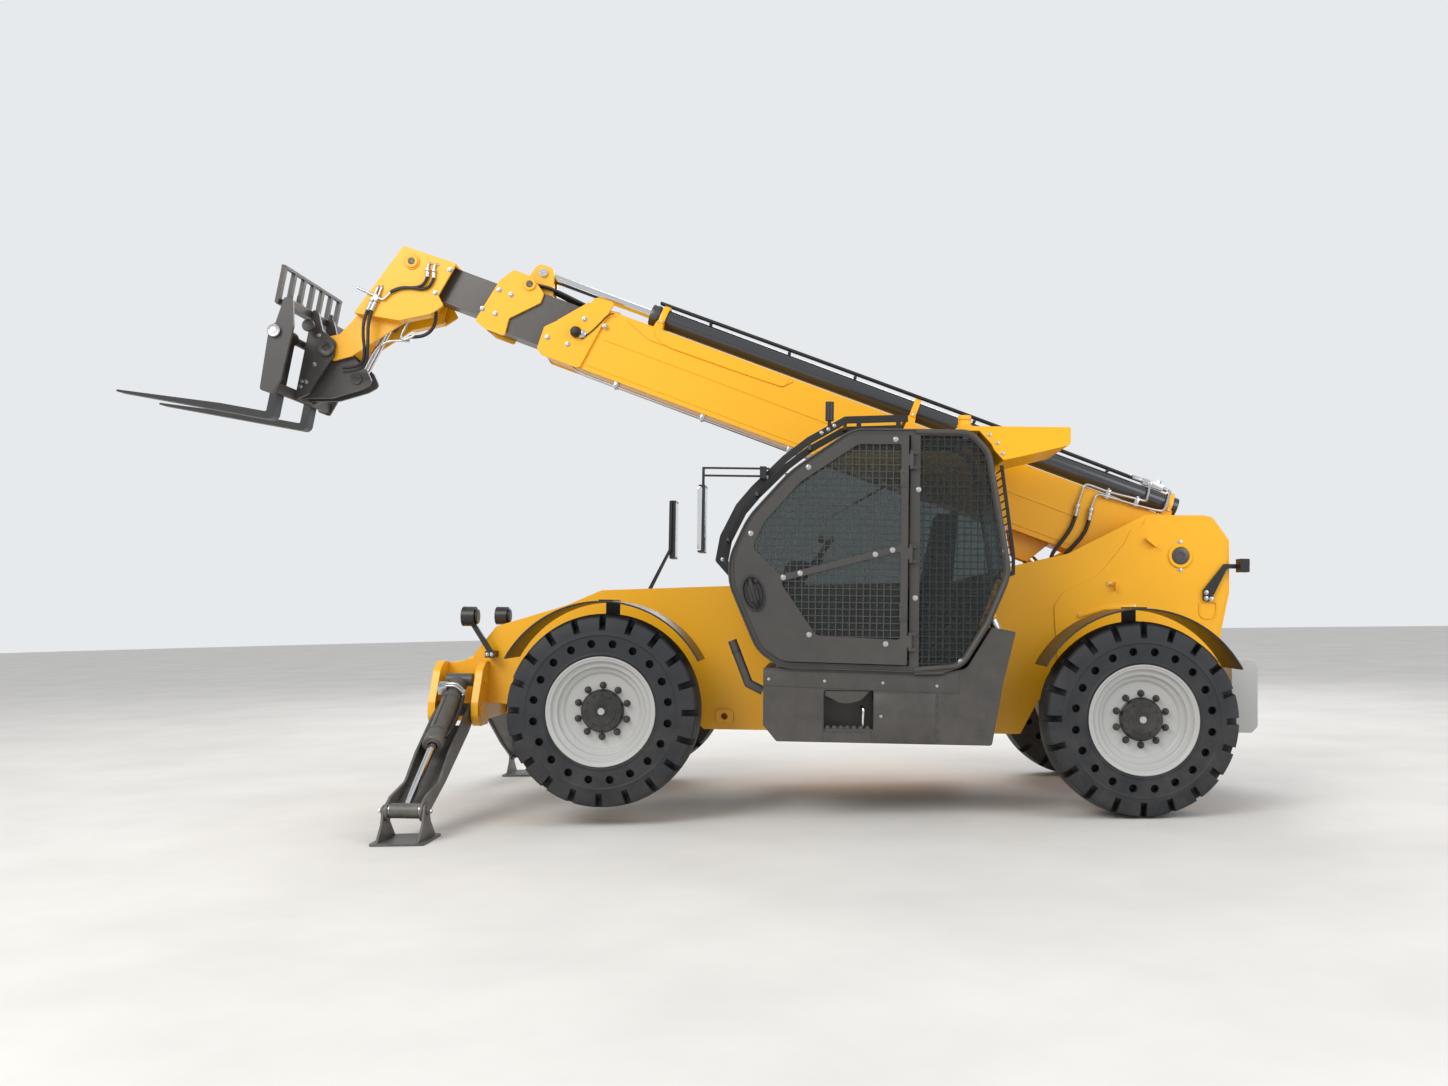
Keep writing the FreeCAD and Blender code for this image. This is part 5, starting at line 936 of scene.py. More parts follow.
def split_section(node, body, outside, outer_finish, inner_finish):
    """Replace a packed section by its own faces, in two pieces of their own finish."""
    whole = NODES[node].copy()
    whole.data = NODES[node].data.copy()
    bpy.context.scene.collection.objects.link(whole)
    edit_all(whole)
    bpy.ops.mesh.remove_doubles(threshold=0.00001)
    end_edit()
    bpy.ops.mesh.customdata_custom_splitnormals_clear()
    edit_all(whole)
    bpy.ops.mesh.select_mode(type="FACE")
    bpy.ops.mesh.select_all(action="DESELECT")
    bpy.ops.object.mode_set(mode="OBJECT")
    to_boom = BOOM.inverted() @ whole.matrix_world
    for face in whole.data.polygons:
        face.select = outside(to_boom @ face.center)
    before = set(bpy.context.scene.objects)
    bpy.ops.object.mode_set(mode="EDIT")
    bpy.ops.mesh.separate(type="SELECTED")
    bpy.ops.mesh.select_mode(type="VERT")
    bpy.ops.object.mode_set(mode="OBJECT")
    split = [obj for obj in bpy.context.scene.objects if obj not in before]
    for piece, (name, material) in zip(split + [whole], (outer_finish, inner_finish)):
        piece.name = piece.data.name = name
        smooth(piece, 30)
        dressed(piece, body, material)
        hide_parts(node)


class MACHINE_OT_boom(bpy.types.Operator):
    """Add the boom's bare steel slides, bolts, weld lines, saddle straps and pipes"""

    bl_idname = "machine.boom"
    bl_label = "Boom"

    def execute(self, context):
        self.slides()
        self.bolts()
        self.side_lines()
        self.straps()
        self.under_pipes()
        self.line_bundle()
        self.rear_pipes()
        return {"FINISHED"}

    def slides(self):
        """The middle section's tube is bare greased steel, its collar is painted."""
        split_section("boom_mid", "boom_mid", lambda p: abs(p.y) > 0.1415 or p.z > 0.206
            or p.z < -0.1535, ("mid_collar", "yellow_paint"), ("mid_slide", "slide_steel"))

    def bolts(self):
        for name, out, rows, body in BOOM_BOLTS:
            places = []
            for x, z in rows:
                places += [facing(BOOM, x, -out, z), facing(BOOM, x, out, z, RIGHT)]
            set_of(f"{name}_collar_bolts", bolt("collar_bolt", 0.0125, 0.014), places, body)
        # Painted bosses round the pins, each with a dark pin end.
        for body, x, z, out in (("boom_mid", -4.876, 0.227, 0.163),
                ("boom_inner", -5.703, 0.082, 0.208)):
            rings, ends = [], []
            for side in (LEFT, RIGHT):
                rings.append(spun("pin_ring", [(0.024, 0.0), (0.046, 0.0), (0.046, 0.008),
                    (0.041, 0.013), (0.029, 0.013), (0.024, 0.009)], facing(BOOM, x, side * out, z,
                    side), 40))
                ends.append(spun("pin_end", [(0.0, 0.0), (0.0245, 0.0), (0.0245, 0.006),
                    (0.018, 0.007), (0.016, 0.003), (0.0, 0.003)], facing(BOOM, x,
                    side * (out + 0.0005), z, side), 28, closed=False))
            fixed(f"{body}_pin_rings", rings, body, "yellow_paint")
            fixed(f"{body}_pin_ends", ends, body, "pin_steel")

    def side_lines(self):
        """The fold along each side of the outer section, and weld beads round its plates."""
        beads = []
        for side in (LEFT, RIGHT):
            y = side * (BOOM_HALF + 0.0005)
            fold = [(-4.24, y, 0.040), (-3.4, y, 0.040), (-0.70, y, 0.030)]
            low = [(-4.30, y, -0.170), (-2.4, y, -0.170), (-0.70, y, -0.165)]
            rim = [(x, y * 1.037, z) for x, z in ((-3.935, 0.232), (-3.905, 0.150), (-3.60, 0.152),
                (-2.985, 0.164), (-2.925, 0.178), (-2.925, 0.236))]
            beads += [tube("fold_bead", fold, 0.0035, BOOM, 2, False),
                tube("low_bead", low, 0.003, BOOM, 2, False), tube("doubler_bead", rim, 0.003,
                BOOM, 2)]
        fixed("boom_beads", beads, "boom_outer", "yellow_paint")

    def straps(self):
        """Yellow straps that hold the extension barrel down on its saddles."""
        pieces, screws = [], []
        for x in (-3.925, -2.025, -0.125):
            pieces.append(plate("strap", STRAP_OUTLINE, -0.022, 0.022,
                BOOM @ at(x, 0, 0) @ turned(90, "Z"), 0.002))
            for side in (LEFT, RIGHT):
                foot = block("strap_foot", (0.044, 0.052, 0.012), BOOM
                    @ at(x, side * 0.104, 0.302), 0.003)
                cheek = plate("strap_cheek", [(x - 0.034, 0.250), (x - 0.026, 0.298),
                    (x + 0.026, 0.298), (x + 0.034, 0.250)], side * 0.118 - 0.006,
                    side * 0.118 + 0.006, BOOM)
                pieces += [foot, cheek]
                screws.append(BOOM @ at(x, side * 0.104, 0.308))
        fixed("saddle_straps", pieces, "boom_outer", "yellow_paint")
        set_of("strap_screws", hex_bolt("strap_screw", 0.011, 0.012), screws, "boom_outer",
            "bright_steel")
        # Two hoses lie along the top of the barrel in clips.
        hoses = [tube("barrel_hose", [(-3.99, y, 0.452), (-3.2, y, 0.458), (-2.0, y, 0.462),
            (-1.0, y, 0.458), (-0.42, y, 0.450)], 0.011, BOOM) for y in (-0.020, 0.012)]
        fixed("barrel_hoses", hoses, "boom_outer", "hose_rubber")
        clips = [block("hose_clip", (0.022, 0.070, 0.014), BOOM @ at(x, -0.004, 0.4335), 0.003)
            for x in (-3.6, -3.0, -2.5, -1.6, -1.1, -0.6)]
        fixed("barrel_hose_clips", clips, "boom_outer", "black_paint")
        gland = spun("barrel_gland", [(0.0335, 0.0), (0.0775, 0.0), (0.0795, 0.010),
            (0.0795, 0.050), (0.0765, 0.058), (0.0735, 0.060), (0.0735, 0.012), (0.0335, 0.010)],
            BOOM @ at(-4.022, 0, 0.352) @ ALONG_X, 48)
        dressed(gland, "boom_outer", "pin_steel")

    def under_pipes(self):
        """Two steel pipes under the outer section, in clamps."""
        radius = settings().pipe_radius
        pipes = [tube("under_pipe", [(-4.42, y, -0.196), (-4.36, y, -0.236), (-4.2, y, -0.237),
            (-3.0, y, -0.237), (-1.85, y, -0.237), (-1.72, y, -0.232), (-1.64, y, -0.200)], radius,
            BOOM) for y in (-0.142, -0.112)]
        fixed("under_pipes", pipes, "boom_outer", "bright_steel")
        clamps = [pipe_clamp("under_clamp", BOOM @ at(x, -0.127, -0.226) @ turned(180, "X"), 0.070,
            0.040) for x in (-4.05, -3.40, -2.75, -2.10)]
        fixed("under_clamps", clamps, "boom_outer", "bright_steel")

    def line_bundle(self):
        """Hoses that leave the middle collar and go back into the outer section."""
        hoses = []
        for k in range(5):
            y = -0.105 + 0.026 * k
            hoses.append(tube(f"bundle_hose_{k}", [(-4.90, y, 0.236), (-4.80, y, 0.262),
                (-4.68, y, 0.260 - 0.004 * k), (-4.52, y, 0.242 - 0.005 * k), (-4.36, y, 0.2245),
                (-4.10, y, 0.2235), (-1.40, y, 0.2235)], 0.0095, BOOM))
        fixed("line_bundle", hoses, "boom_mid", "hose_rubber")
        # A rubber stop on the near collar and the thin cable above it.
        stop = spun("collar_stop", [(0.0, 0.0), (0.036, 0.0), (0.040, 0.012), (0.034, 0.045),
            (0.022, 0.060), (0.0, 0.064)], facing(BOOM, -4.440, -0.183, 0.020), 28, closed=False)
        dressed(stop, "boom_outer", "hose_rubber")
        cap = spun("stop_cap", [(0.0, 0.0), (0.028, 0.0), (0.028, 0.014), (0.020, 0.020),
            (0.0, 0.021)], facing(BOOM, -4.395, -0.183, 0.022), 24, closed=False)
        dressed(cap, "boom_outer", "bright_steel")
        cable = tube("stop_cable", [(-4.386, -0.189, -0.012), (-4.372, -0.190, 0.010),
            (-4.330, -0.188, 0.080), (-4.300, -0.188, 0.150), (-4.270, -0.187, 0.222),
            (-4.235, -0.186, 0.236)], 0.0045, BOOM)
        dressed(cable, "boom_outer", "hose_rubber")

    def rear_pipes(self):
        """Bent steel pipes from the extension barrel's valve to the hoses at the boom's foot."""
        radius = settings().pipe_radius
        first = [(-0.741, -0.186, 0.120), (-0.742, -0.186, 0.180), (-0.744, -0.186, 0.262),
            (-0.700, -0.186, 0.268), (-0.570, -0.186, 0.266), (-0.380, -0.186, 0.289),
            (-0.300, -0.170, 0.299), (-0.292, -0.120, 0.330), (-0.292, -0.088, 0.398),
            (-0.292, -0.046, 0.440)]
        second = [(-0.646, -0.186, 0.128), (-0.645, -0.186, 0.180), (-0.640, -0.186, 0.226),
            (-0.600, -0.186, 0.232), (-0.560, -0.186, 0.234), (-0.362, -0.186, 0.247),
            (-0.200, -0.178, 0.264), (-0.156, -0.150, 0.290), (-0.150, -0.095, 0.380),
            (-0.140, -0.046, 0.436)]
        pipes = [tube("rear_pipe_a", first, radius, BOOM), tube("rear_pipe_b", second, radius,
            BOOM)]
        ends = [fitting("rear_fitting_a", (-0.729, -0.186, 0.030), (-0.741, -0.186, 0.128), 0.0125,
            BOOM), fitting("rear_fitting_b", (-0.631, -0.186, 0.034), (-0.646, -0.186, 0.136),
            0.0125, BOOM)]
        valve = [block("valve_body", (0.150, 0.058, 0.046), BOOM @ at(-0.265, 0, 0.452), 0.005),
            drum("valve_spool", 0.018, 0.110, BOOM @ at(-0.375, 0, 0.455) @ ALONG_X, 20, 0.003),
            drum("valve_nut", 0.024, 0.022, BOOM @ at(-0.338, 0, 0.455) @ ALONG_X, 6, 0.002),
            drum("valve_plug", 0.017, 0.035, BOOM @ at(-0.176, 0, 0.452) @ ALONG_X, 6, 0.002),
            drum("port_a", 0.015, 0.030, BOOM @ at(-0.292, -0.040, 0.446) @ ALONG_Y, 6, 0.002),
            drum("port_b", 0.015, 0.030, BOOM @ at(-0.226, 0.0, 0.486), 6, 0.002),
            tube("valve_pipe", [(-0.180, 0.0, 0.452), (-0.150, -0.010, 0.455),
            (-0.138, -0.030, 0.448), (-0.140, -0.046, 0.436)], radius, BOOM)]
        clamps = [pipe_clamp(f"rear_clamp_{k}", BOOM @ at(x, -0.178, z), 0.030, 0.062) for k,
            (x, z) in enumerate(((-0.570, 0.250), (-0.366, 0.268)))]
        fixed("rear_pipework", pipes + ends + valve + clamps, "boom_outer", "bright_steel")
        # The hoses below run down into the tower.
        for name, points in (("a", [(-0.728, -0.186, 0.034), (-0.724, -0.188, -0.020),
                (-0.735, -0.192, -0.100), (-0.770, -0.200, -0.200), (-0.800, -0.215, -0.300),
                (-0.770, -0.225, -0.400)]), ("b", [(-0.630, -0.186, 0.038),
                (-0.624, -0.188, -0.020), (-0.640, -0.192, -0.100), (-0.680, -0.200, -0.190),
                (-0.730, -0.215, -0.290), (-0.720, -0.225, -0.400)])):
            hose_across(f"tower_hose_{name}", points, 0.0135, BOOM)


class MACHINE_OT_head(bpy.types.Operator):
    """Add the boom head's hoses, steel pipes, fittings and the coupler's pins"""

    bl_idname = "machine.head"
    bl_label = "Boom head"

    def execute(self, context):
        radius = settings().hose_radius
        out = -0.214
        hoses = []
        for dx, dz in ((0.0, 0.0), (0.045, 0.008)):
            hoses.append(tube("plate_hose", [(-5.557 + dx, out, 0.020 + dz),
                (-5.553 + dx, out, -0.030), (-5.590 + dx, out, -0.076),
                (-5.650 + dx * 0.6, out, -0.100 + dz), (-5.715, out, -0.128 + dz * 1.2),
                (-5.760, out, -0.178 + dz)], radius, BOOM))
        fixed("plate_hoses", hoses, "boom_inner", "hose_rubber")
        steel = []
        for k, (dx, dz) in enumerate(((0.0, 0.0), (0.045, 0.008))):
            steel.append(fitting(f"plate_fitting_{k}", (-5.557 + dx, out, 0.016 + dz),
                (-5.580 + dx, out, 0.085 + dz), 0.0105, BOOM))
            steel.append(tube(f"plate_pipe_{k}", [(-5.578 + dx, out, 0.078 + dz),
                (-5.588 + dx, out, 0.108 + dz), (-5.560 + dx, -0.200, 0.122 + dz),
                (-5.555 + dx, -0.186, 0.122 + dz)], SMALL_PIPE, BOOM))
        steel.append(tube("cross_pipe", [(-5.757, out, -0.176), (-5.775, out, -0.214),
            (-5.790, out, -0.247), (-5.830, out, -0.241), (-5.905, out, -0.233),
            (-5.990, out, -0.227)], SMALL_PIPE, BOOM))
        for k, (x0, z0, x1, z1) in enumerate(((-5.864, -0.350, -5.856, -0.235),
                (-5.838, -0.342, -5.830, -0.226))):
            steel.append(fitting(f"drop_fitting_{k}", (x0, out, z0), (x1, out, z1), 0.012, BOOM))
            steel.append(tube(f"drop_pipe_{k}", [(x1, out, z1 - 0.01),
                (x1 - 0.002, out, z1 + 0.04), (x1 - 0.004, -0.205, z1 + 0.075),
                (x1 - 0.004, -0.184, z1 + 0.080)], SMALL_PIPE, BOOM))
        steel += [block("pipe_block", (0.034, 0.040, 0.050), BOOM @ at(-5.845, -0.203, -0.250),
            0.004), tube("inner_pipe_a", [(-5.604, -0.120, -0.317), (-5.612, -0.120, -0.400),
            (-5.612, -0.120, -0.452), (-5.560, -0.120, -0.440), (-5.520, -0.120, -0.385)],
            SMALL_PIPE, BOOM), tube("inner_pipe_b", [(-5.540, -0.100, -0.440),
            (-5.620, -0.100, -0.462), (-5.700, -0.110, -0.500), (-5.760, -0.110, -0.600),
            (-5.768, -0.110, -0.740)], SMALL_PIPE, BOOM)]
        fixed("head_pipework", steel, "boom_inner", "bright_steel")
        for k, points in enumerate(([(-5.866, out, -0.350), (-5.866, out - 0.004, -0.420),
                (-5.826, out - 0.010, -0.530), (-5.778, out - 0.010, -0.616),
                (-5.760, -0.205, -0.690), (-5.800, -0.180, -0.750), (-5.900, -0.172, -0.790)],
                [(-5.838, out, -0.342), (-5.828, out - 0.006, -0.430),
                (-5.785, out - 0.016, -0.530), (-5.752, out - 0.016, -0.620),
                (-5.736, -0.212, -0.690), (-5.772, -0.186, -0.768), (-5.880, -0.178, -0.815)])):
            hose_across(f"drop_hose_{k}", points, 0.0115, BOOM)
        loop = tube("head_loop", [(-5.470, -0.105, -0.150), (-5.436, -0.105, -0.200),
            (-5.420, -0.105, -0.270), (-5.440, -0.105, -0.345), (-5.500, -0.105, -0.395),
            (-5.560, -0.105, -0.415)], 0.0125, BOOM)
        dressed(loop, "boom_inner", "hose_rubber")
        self.coupler()
        return {"FINISHED"}

    def coupler(self):
        """Pin collars, bolts and the locking pins of the fork carriage."""
        rings, bolts, bright = [], [], []
        for side in (LEFT, RIGHT):
            rings.append(spun("hinge_collar", [(0.022, 0.010), (0.030, 0.014), (0.054, 0.014),
                (0.060, 0.008), (0.060, 0.0), (0.022, 0.0)], facing(CARRIAGE, 0, side * 0.1645, 0,
                side), 40))
            rings.append(spun("hook_collar", [(0.0, 0.020), (0.040, 0.018), (0.044, 0.012),
                (0.044, 0.0), (0.0, 0.0)], facing(CARRIAGE, -0.126, side * 0.2250, 0.125, side),
                32, closed=False))
            bolts += [facing(CARRIAGE, x, side * 0.155, z, side) for x,
                z in ((-0.126, -0.262), (-0.094, -0.262), (-0.126, -0.300), (-0.060, -0.130),
                (-0.070, 0.080))]
            bright.append(facing(CARRIAGE, -0.218, side * 0.532, 0.005, side))
        fixed("coupler_collars", rings, "carriage", "pin_steel")
        set_of("coupler_bolts", hex_bolt("coupler_bolt", 0.0105, 0.010), bolts, "carriage",
            "bright_steel")
        cap = spun("shaft_cap_face", [(0.0, 0.0), (0.0425, 0.0), (0.0435, 0.010), (0.037, 0.014),
            (0.024, 0.012), (0.022, 0.016), (0.0, 0.017)], IDENTITY, 36, closed=False)
        set_of("shaft_caps", cap, bright, "carriage", "bright_steel")
        latches = []
        for side in (LEFT, RIGHT):
            latches.append(drum("fork_latch", 0.016, 0.090, CARRIAGE
                @ at(-0.200, side * 0.290, 0.262), 20, 0.004))
            latches.append(block("latch_foot", (0.050, 0.060, 0.020),
                CARRIAGE @ at(-0.195, side * 0.290, 0.248), 0.004))
        fixed("fork_latches", latches, "carriage", "pin_steel")


# The tower, the cab and what is fastened to the chassis, in its own frame.

FRONT_X = -3.317
PLATE_FACE = 0.360
TOWER_DOUBLER = [(0.222, 1.900, 0.02), (0.192, 1.837, 0.03), (0.120, 1.820, 0.03),
    (0.074, 1.722, 0.10), (-0.088, 1.516, 0.25), (-0.335, 1.389, 0.10), (-0.400, 1.290, 0.06),
    (-0.370, 0.810, 0.05), (0.700, 0.810, 0.04), (0.705, 1.115, 0.06), (0.765, 1.401, 0.06),
    (0.765, 1.746, 0.06), (0.655, 1.896, 0.05), (0.590, 1.903, 0.04)]
DOUBLER_THICK = 0.006
DOUBLER_FACE = PLATE_FACE + DOUBLER_THICK
HINGE_BOLTS = [(0.619, 1.396), (0.618, 1.357), (0.652, 1.352)]
DOUBLER_BOLTS = [(-0.024, 1.446), (-0.222, 1.232), (0.137, 1.294), (0.450, 1.735), (0.450, 1.547)]


def side_plate(name, rows, side, start, thick, edge=0.0, corner_steps=4):
    """A plate on the chassis, outwards from a distance off the middle."""
    low, high = sorted((side * start, side * (start + thick)))
    return plate(name, rows, low, high, CHASSIS, edge, corner_steps)


class MACHINE_OT_tower(bpy.types.Operator):
    """Add the tower's doubler plates, pin collar, slot rim, brackets and bolts"""

    bl_idname = "machine.tower"
    bl_label = "Tower"

    def execute(self, context):
        plates, bolts, pins = [], [], []
        x, z = BOOM_PIVOT[0], BOOM_PIVOT[2]
        for side in (LEFT, RIGHT):
            sheet = side_plate("doubler", TOWER_DOUBLER, side, PLATE_FACE, DOUBLER_THICK, 0.0015,
                6)
            hole = drum("doubler_hole", 0.056, 0.05, CHASSIS @ at(x, side * PLATE_FACE, z)
                @ ALONG_Y, 40)
            place = facing(CHASSIS, x, side * DOUBLER_FACE, z, side)
            plates += [smooth(carved(sheet, [hole]), 20), spun("pivot_ring",
                [(0.059, 0.0), (0.084, 0.0), (0.084, 0.007), (0.079, 0.011), (0.064, 0.011),
                (0.059, 0.007)], place, 48), self.slot_rim(side)] + self.brackets(side)
            pins.append(spun("pivot_cover", [(0.0, 0.006), (0.052, 0.006), (0.056, 0.009),
                (0.050, 0.0115), (0.024, 0.0115), (0.022, 0.0085), (0.0, 0.0085)], place, 40,
                closed=False))
            for out, rows in ((PLATE_FACE + 0.030, HINGE_BOLTS), (DOUBLER_FACE - 0.0005,
                    DOUBLER_BOLTS)):
                bolts += [facing(CHASSIS, bolt_x, side * out, bolt_z, side) for bolt_x,
                    bolt_z in rows]
        fixed("tower_plates", plates, "chassis", "yellow_paint")
        fixed("pivot_covers", pins, "chassis", "pin_steel")
        set_of("tower_bolts", hex_bolt("tower_bolt", 0.011, 0.010), bolts, "chassis")
        return {"FINISHED"}

    def slot_rim(self, side):
        """A raised rim round the slot in the tower plate."""
        rim = side_plate("slot_rim", [(0.574, 1.216, 0.06), (0.574, 1.335, 0.02),
            (0.697, 1.335, 0.02), (0.697, 1.216, 0.06)], side, DOUBLER_FACE, 0.005, 0.001, 6)
        room = side_plate("slot_room", [(0.582, 1.224, 0.055), (0.582, 1.327, 0.015),
            (0.689, 1.327, 0.015), (0.689, 1.224, 0.055)], side, DOUBLER_FACE - 0.01, 0.025, 0.0,
            6)
        return smooth(carved(rim, [room]), 20)

    def brackets(self, side):
        """The hook beside the boom, a folded hose bracket and the bar over the fender."""
        return [side_plate(name, rows, side, DOUBLER_FACE, thick, edge) for name, thick, edge,
            rows in (("hook", 0.040, 0.002, [(0.209, 1.749), (0.221, 1.764), (0.292, 1.712),
            (0.280, 1.694)]), ("fold_foot", 0.006, 0.001, [(-0.046, 1.430), (-0.046, 1.462),
            (0.012, 1.462), (0.012, 1.430)]), ("fold_shelf", 0.045, 0.001,
            [(0.006, 1.398), (0.006, 1.462), (0.012, 1.462), (0.012, 1.398)]),
            ("fender_bar", 0.012, 0.002, [(-0.240, 1.212), (-0.235, 1.240), (-0.065, 1.292),
            (0.140, 1.308), (0.150, 1.282), (-0.062, 1.268)]))]


CAB_FACE = -1.170
DOOR_FACE = -1.2063
SKIRT_FACE = -1.150
GUARD_FACE = -1.010
CAB_OUTLINE = [(-1.052, 2.372, 0.15), (-0.930, 2.240, 0.20), (-0.800, 1.480, 0.30),
    (-0.932, 1.164, 0.30), (-1.090, 0.905, 0.15), (-1.237, 0.862, 0.15), (-2.215, 0.880, 0.20),
    (-2.370, 0.985, 0.25), (-2.551, 1.400, 0.35), (-2.551, 1.560, 0.35), (-2.440, 1.810, 0.50),
    (-2.177, 2.106, 0.70), (-1.790, 2.372, 0.25)]
DOOR_BOLTS = [(-1.527, 2.300), (-2.062, 2.121), (-2.412, 1.707), (-2.208, 1.4386),
    (-2.1055, 1.4658), (-1.645, 1.5879), (-1.539, 1.616), (-2.045, 1.090), (-1.576, 1.040)]
POST_BOLTS = [(-1.380, 1.994), (-1.395, 1.324), (-1.113, 0.939), (-0.922, 2.094), (-0.845, 1.623)]


def offset_line(points, by):
    """An open line of (x, z) points moved sideways, to its right, by a distance."""
    moved = []
    for i, here in enumerate(points):
        ahead = points[min(i + 1, len(points) - 1)]
        back = points[max(i - 1, 0)]
        along = (Vector(ahead) - Vector(back)).normalized()
        moved.append((here[0] + along.y * by, here[1] - along.x * by))
    return moved


class MACHINE_OT_cab(bpy.types.Operator):
    """Add the cab's bolts, ring tube and bead, handle, gas spring, hinge leaves, mirror faces and roof fittings"""

    bl_idname = "machine.cab"
    bl_label = "Cab"

    def execute(self, context):
        head = settings().bolt_radius
        set_of("door_bolts", bolt("door_bolt", head, 0.009), [facing(CHASSIS, x, DOOR_FACE, z)
            for x, z in DOOR_BOLTS], "cab_door", "bright_steel")
        set_of("post_bolts", bolt("post_bolt", head, 0.009), [facing(CHASSIS, x, CAB_FACE, z)
            for x, z in POST_BOLTS], "chassis", "bright_steel")
        self.ring_tube()
        self.door_fittings()
        self.front_fittings()
        self.roof_fittings()
        return {"FINISHED"}

    def ring_tube(self):
        """The round tube along the rear of the near ring, and a bead along its front, outside the door."""
        corners = [(p.x, p.y) for p in arc_corners(CAB_OUTLINE, 6)]
        low = next(i for i, p in enumerate(corners) if p[1] < 0.87 and p[0] < -1.20)
        high = len(corners) - 1
        rear = offset_line([(-1.400, 2.372)] + corners[:low] + [(-1.400, 0.866)], 0.018)
        front = offset_line([(-1.400, 0.866)] + corners[low:high] + [(-1.400, 2.372)], 0.007)
        bar = tube("rear_ring_tube", [(x, CAB_FACE + 0.004, z) for x, z in rear], 0.017, CHASSIS)
        dressed(bar, "chassis", "grey_paint")
        bead = tube("front_ring_bead", [(x, CAB_FACE - 0.001, z) for x, z in front], 0.006,
            CHASSIS)
        dressed(bead, "chassis", "grey_paint")

    def door_fittings(self):
        """Pull handle, hinge leaves and a gas spring behind the wires."""
        tilt = turned(-15)
        place = CHASSIS @ at(-2.390, DOOR_FACE, 1.340) @ tilt
        dish = spun("handle_dish", [(0.0, 0.0015), (0.052, 0.0015), (0.062, 0.006), (0.066, 0.012),
            (0.060, 0.014), (0.053, 0.006), (0.0, 0.004)], Matrix.Scale(1.72, 4, (0, 1, 0)), 48,
            closed=False)
        settle(dish, place @ ALONG_Y)
        grip = tube("handle_grip", [(0.0, -0.006, 0.088), (0.0, -0.034, 0.070),
            (0.0, -0.044, 0.030), (0.0, -0.044, -0.030), (0.0, -0.034, -0.070),
            (0.0, -0.006, -0.088)], 0.014, place)
        latch = drum("handle_lock", 0.013, 0.012, place @ at(0.030, -0.008, 0.068) @ ALONG_Y, 20,
            0.002)
        fixed("door_handle", [dish, grip, latch], "cab_door", "cab_plastic")
        spring = tube("gas_spring", [(-2.014, DOOR_FACE + 0.030, 1.763),
            (-1.760, DOOR_FACE + 0.030, 1.911)], 0.0048, CHASSIS, 3, False)
        dressed(spring, "cab_door", "chrome_rod")
        body = tube("gas_spring_body", [(-1.770, DOOR_FACE + 0.030, 1.905),
            (-1.553, DOOR_FACE + 0.030, 2.031)], 0.0075, CHASSIS, 3, False)
        dressed(body, "cab_door", "black_paint")
        leaves = []
        for z in (1.235, 2.060):
            leaves.append(block("hinge_leaf", (0.050, 0.005, 0.110),
                CHASSIS @ at(-1.470, DOOR_FACE - 0.0015, z), 0.002))
            leaves += [drum("hinge_screw", 0.008, 0.006, CHASSIS @ at(-1.482, DOOR_FACE - 0.005,
                z + dz) @ ALONG_Y, 6, 0.001) for dz in (-0.035, 0.035)]
        fixed("door_hinge_leaves", leaves, "cab_door", "grey_paint")

    def front_fittings(self):
        """Mirror faces, the near mirror's shell and the bolts of the guard."""
        mirror_glass = [block("near_mirror_face", (0.003, 0.150, 0.390),
            CHASSIS @ at(-2.7045, -1.060, 1.800), 0.001), block("near_mirror_low",
            (0.003, 0.150, 0.090), CHASSIS @ at(-2.7045, -1.060, 1.640), 0.001),
            block("far_mirror_face", (0.003, 0.150, 0.400), CHASSIS
            @ at(FRONT_X + 0.2575, 0.470, 1.820), 0.001)]
        fixed("mirror_faces", mirror_glass, "chassis", "mirror_face")
        shell = plate("mirror_shell", [(-2.748, 1.600, 0.02), (-2.752, 1.985, 0.03),
            (-2.735, 2.005, 0.02), (-2.722, 1.990, 0.01), (-2.722, 1.600, 0.01)], -1.1535, -1.1495,
            CHASSIS, 0.002)
        dressed(shell, "chassis", "mirror_face")
        bolts = [facing(CHASSIS, x, GUARD_FACE, z) for x, z in ((-1.943, 2.385), (-1.985, 2.362),
            (-1.905, 2.408), (-2.330, 2.075), (-2.600, 1.552))]
        set_of("guard_bolts", bolt("guard_bolt", 0.0085, 0.008), bolts, "chassis")

    def roof_fittings(self):
        """Bolts of the roof cover, and the beacon's ribbed base."""
        cover = [facing(CHASSIS, x, -1.110, z) for x, z in ((-0.937, 2.349), (-0.888, 2.297),
            (-0.855, 2.233))]
        set_of("cover_bolts", bolt("cover_bolt", 0.009, 0.008), cover, "chassis")
        base = spun("beacon_base", [(0.0425, 0.0), (0.048, 0.0), (0.048, 0.010), (0.0425, 0.012)],
            CHASSIS @ at(-1.086, -1.040, 2.404), 32)
        ribs = spun("beacon_ribs", [(0.0412, 0.040), (0.0436, 0.044), (0.0412, 0.048)],
            CHASSIS @ at(-1.086, -1.040, 2.404), 32)
        fixed("beacon_rings", [base, ribs], "chassis", "yellow_paint")


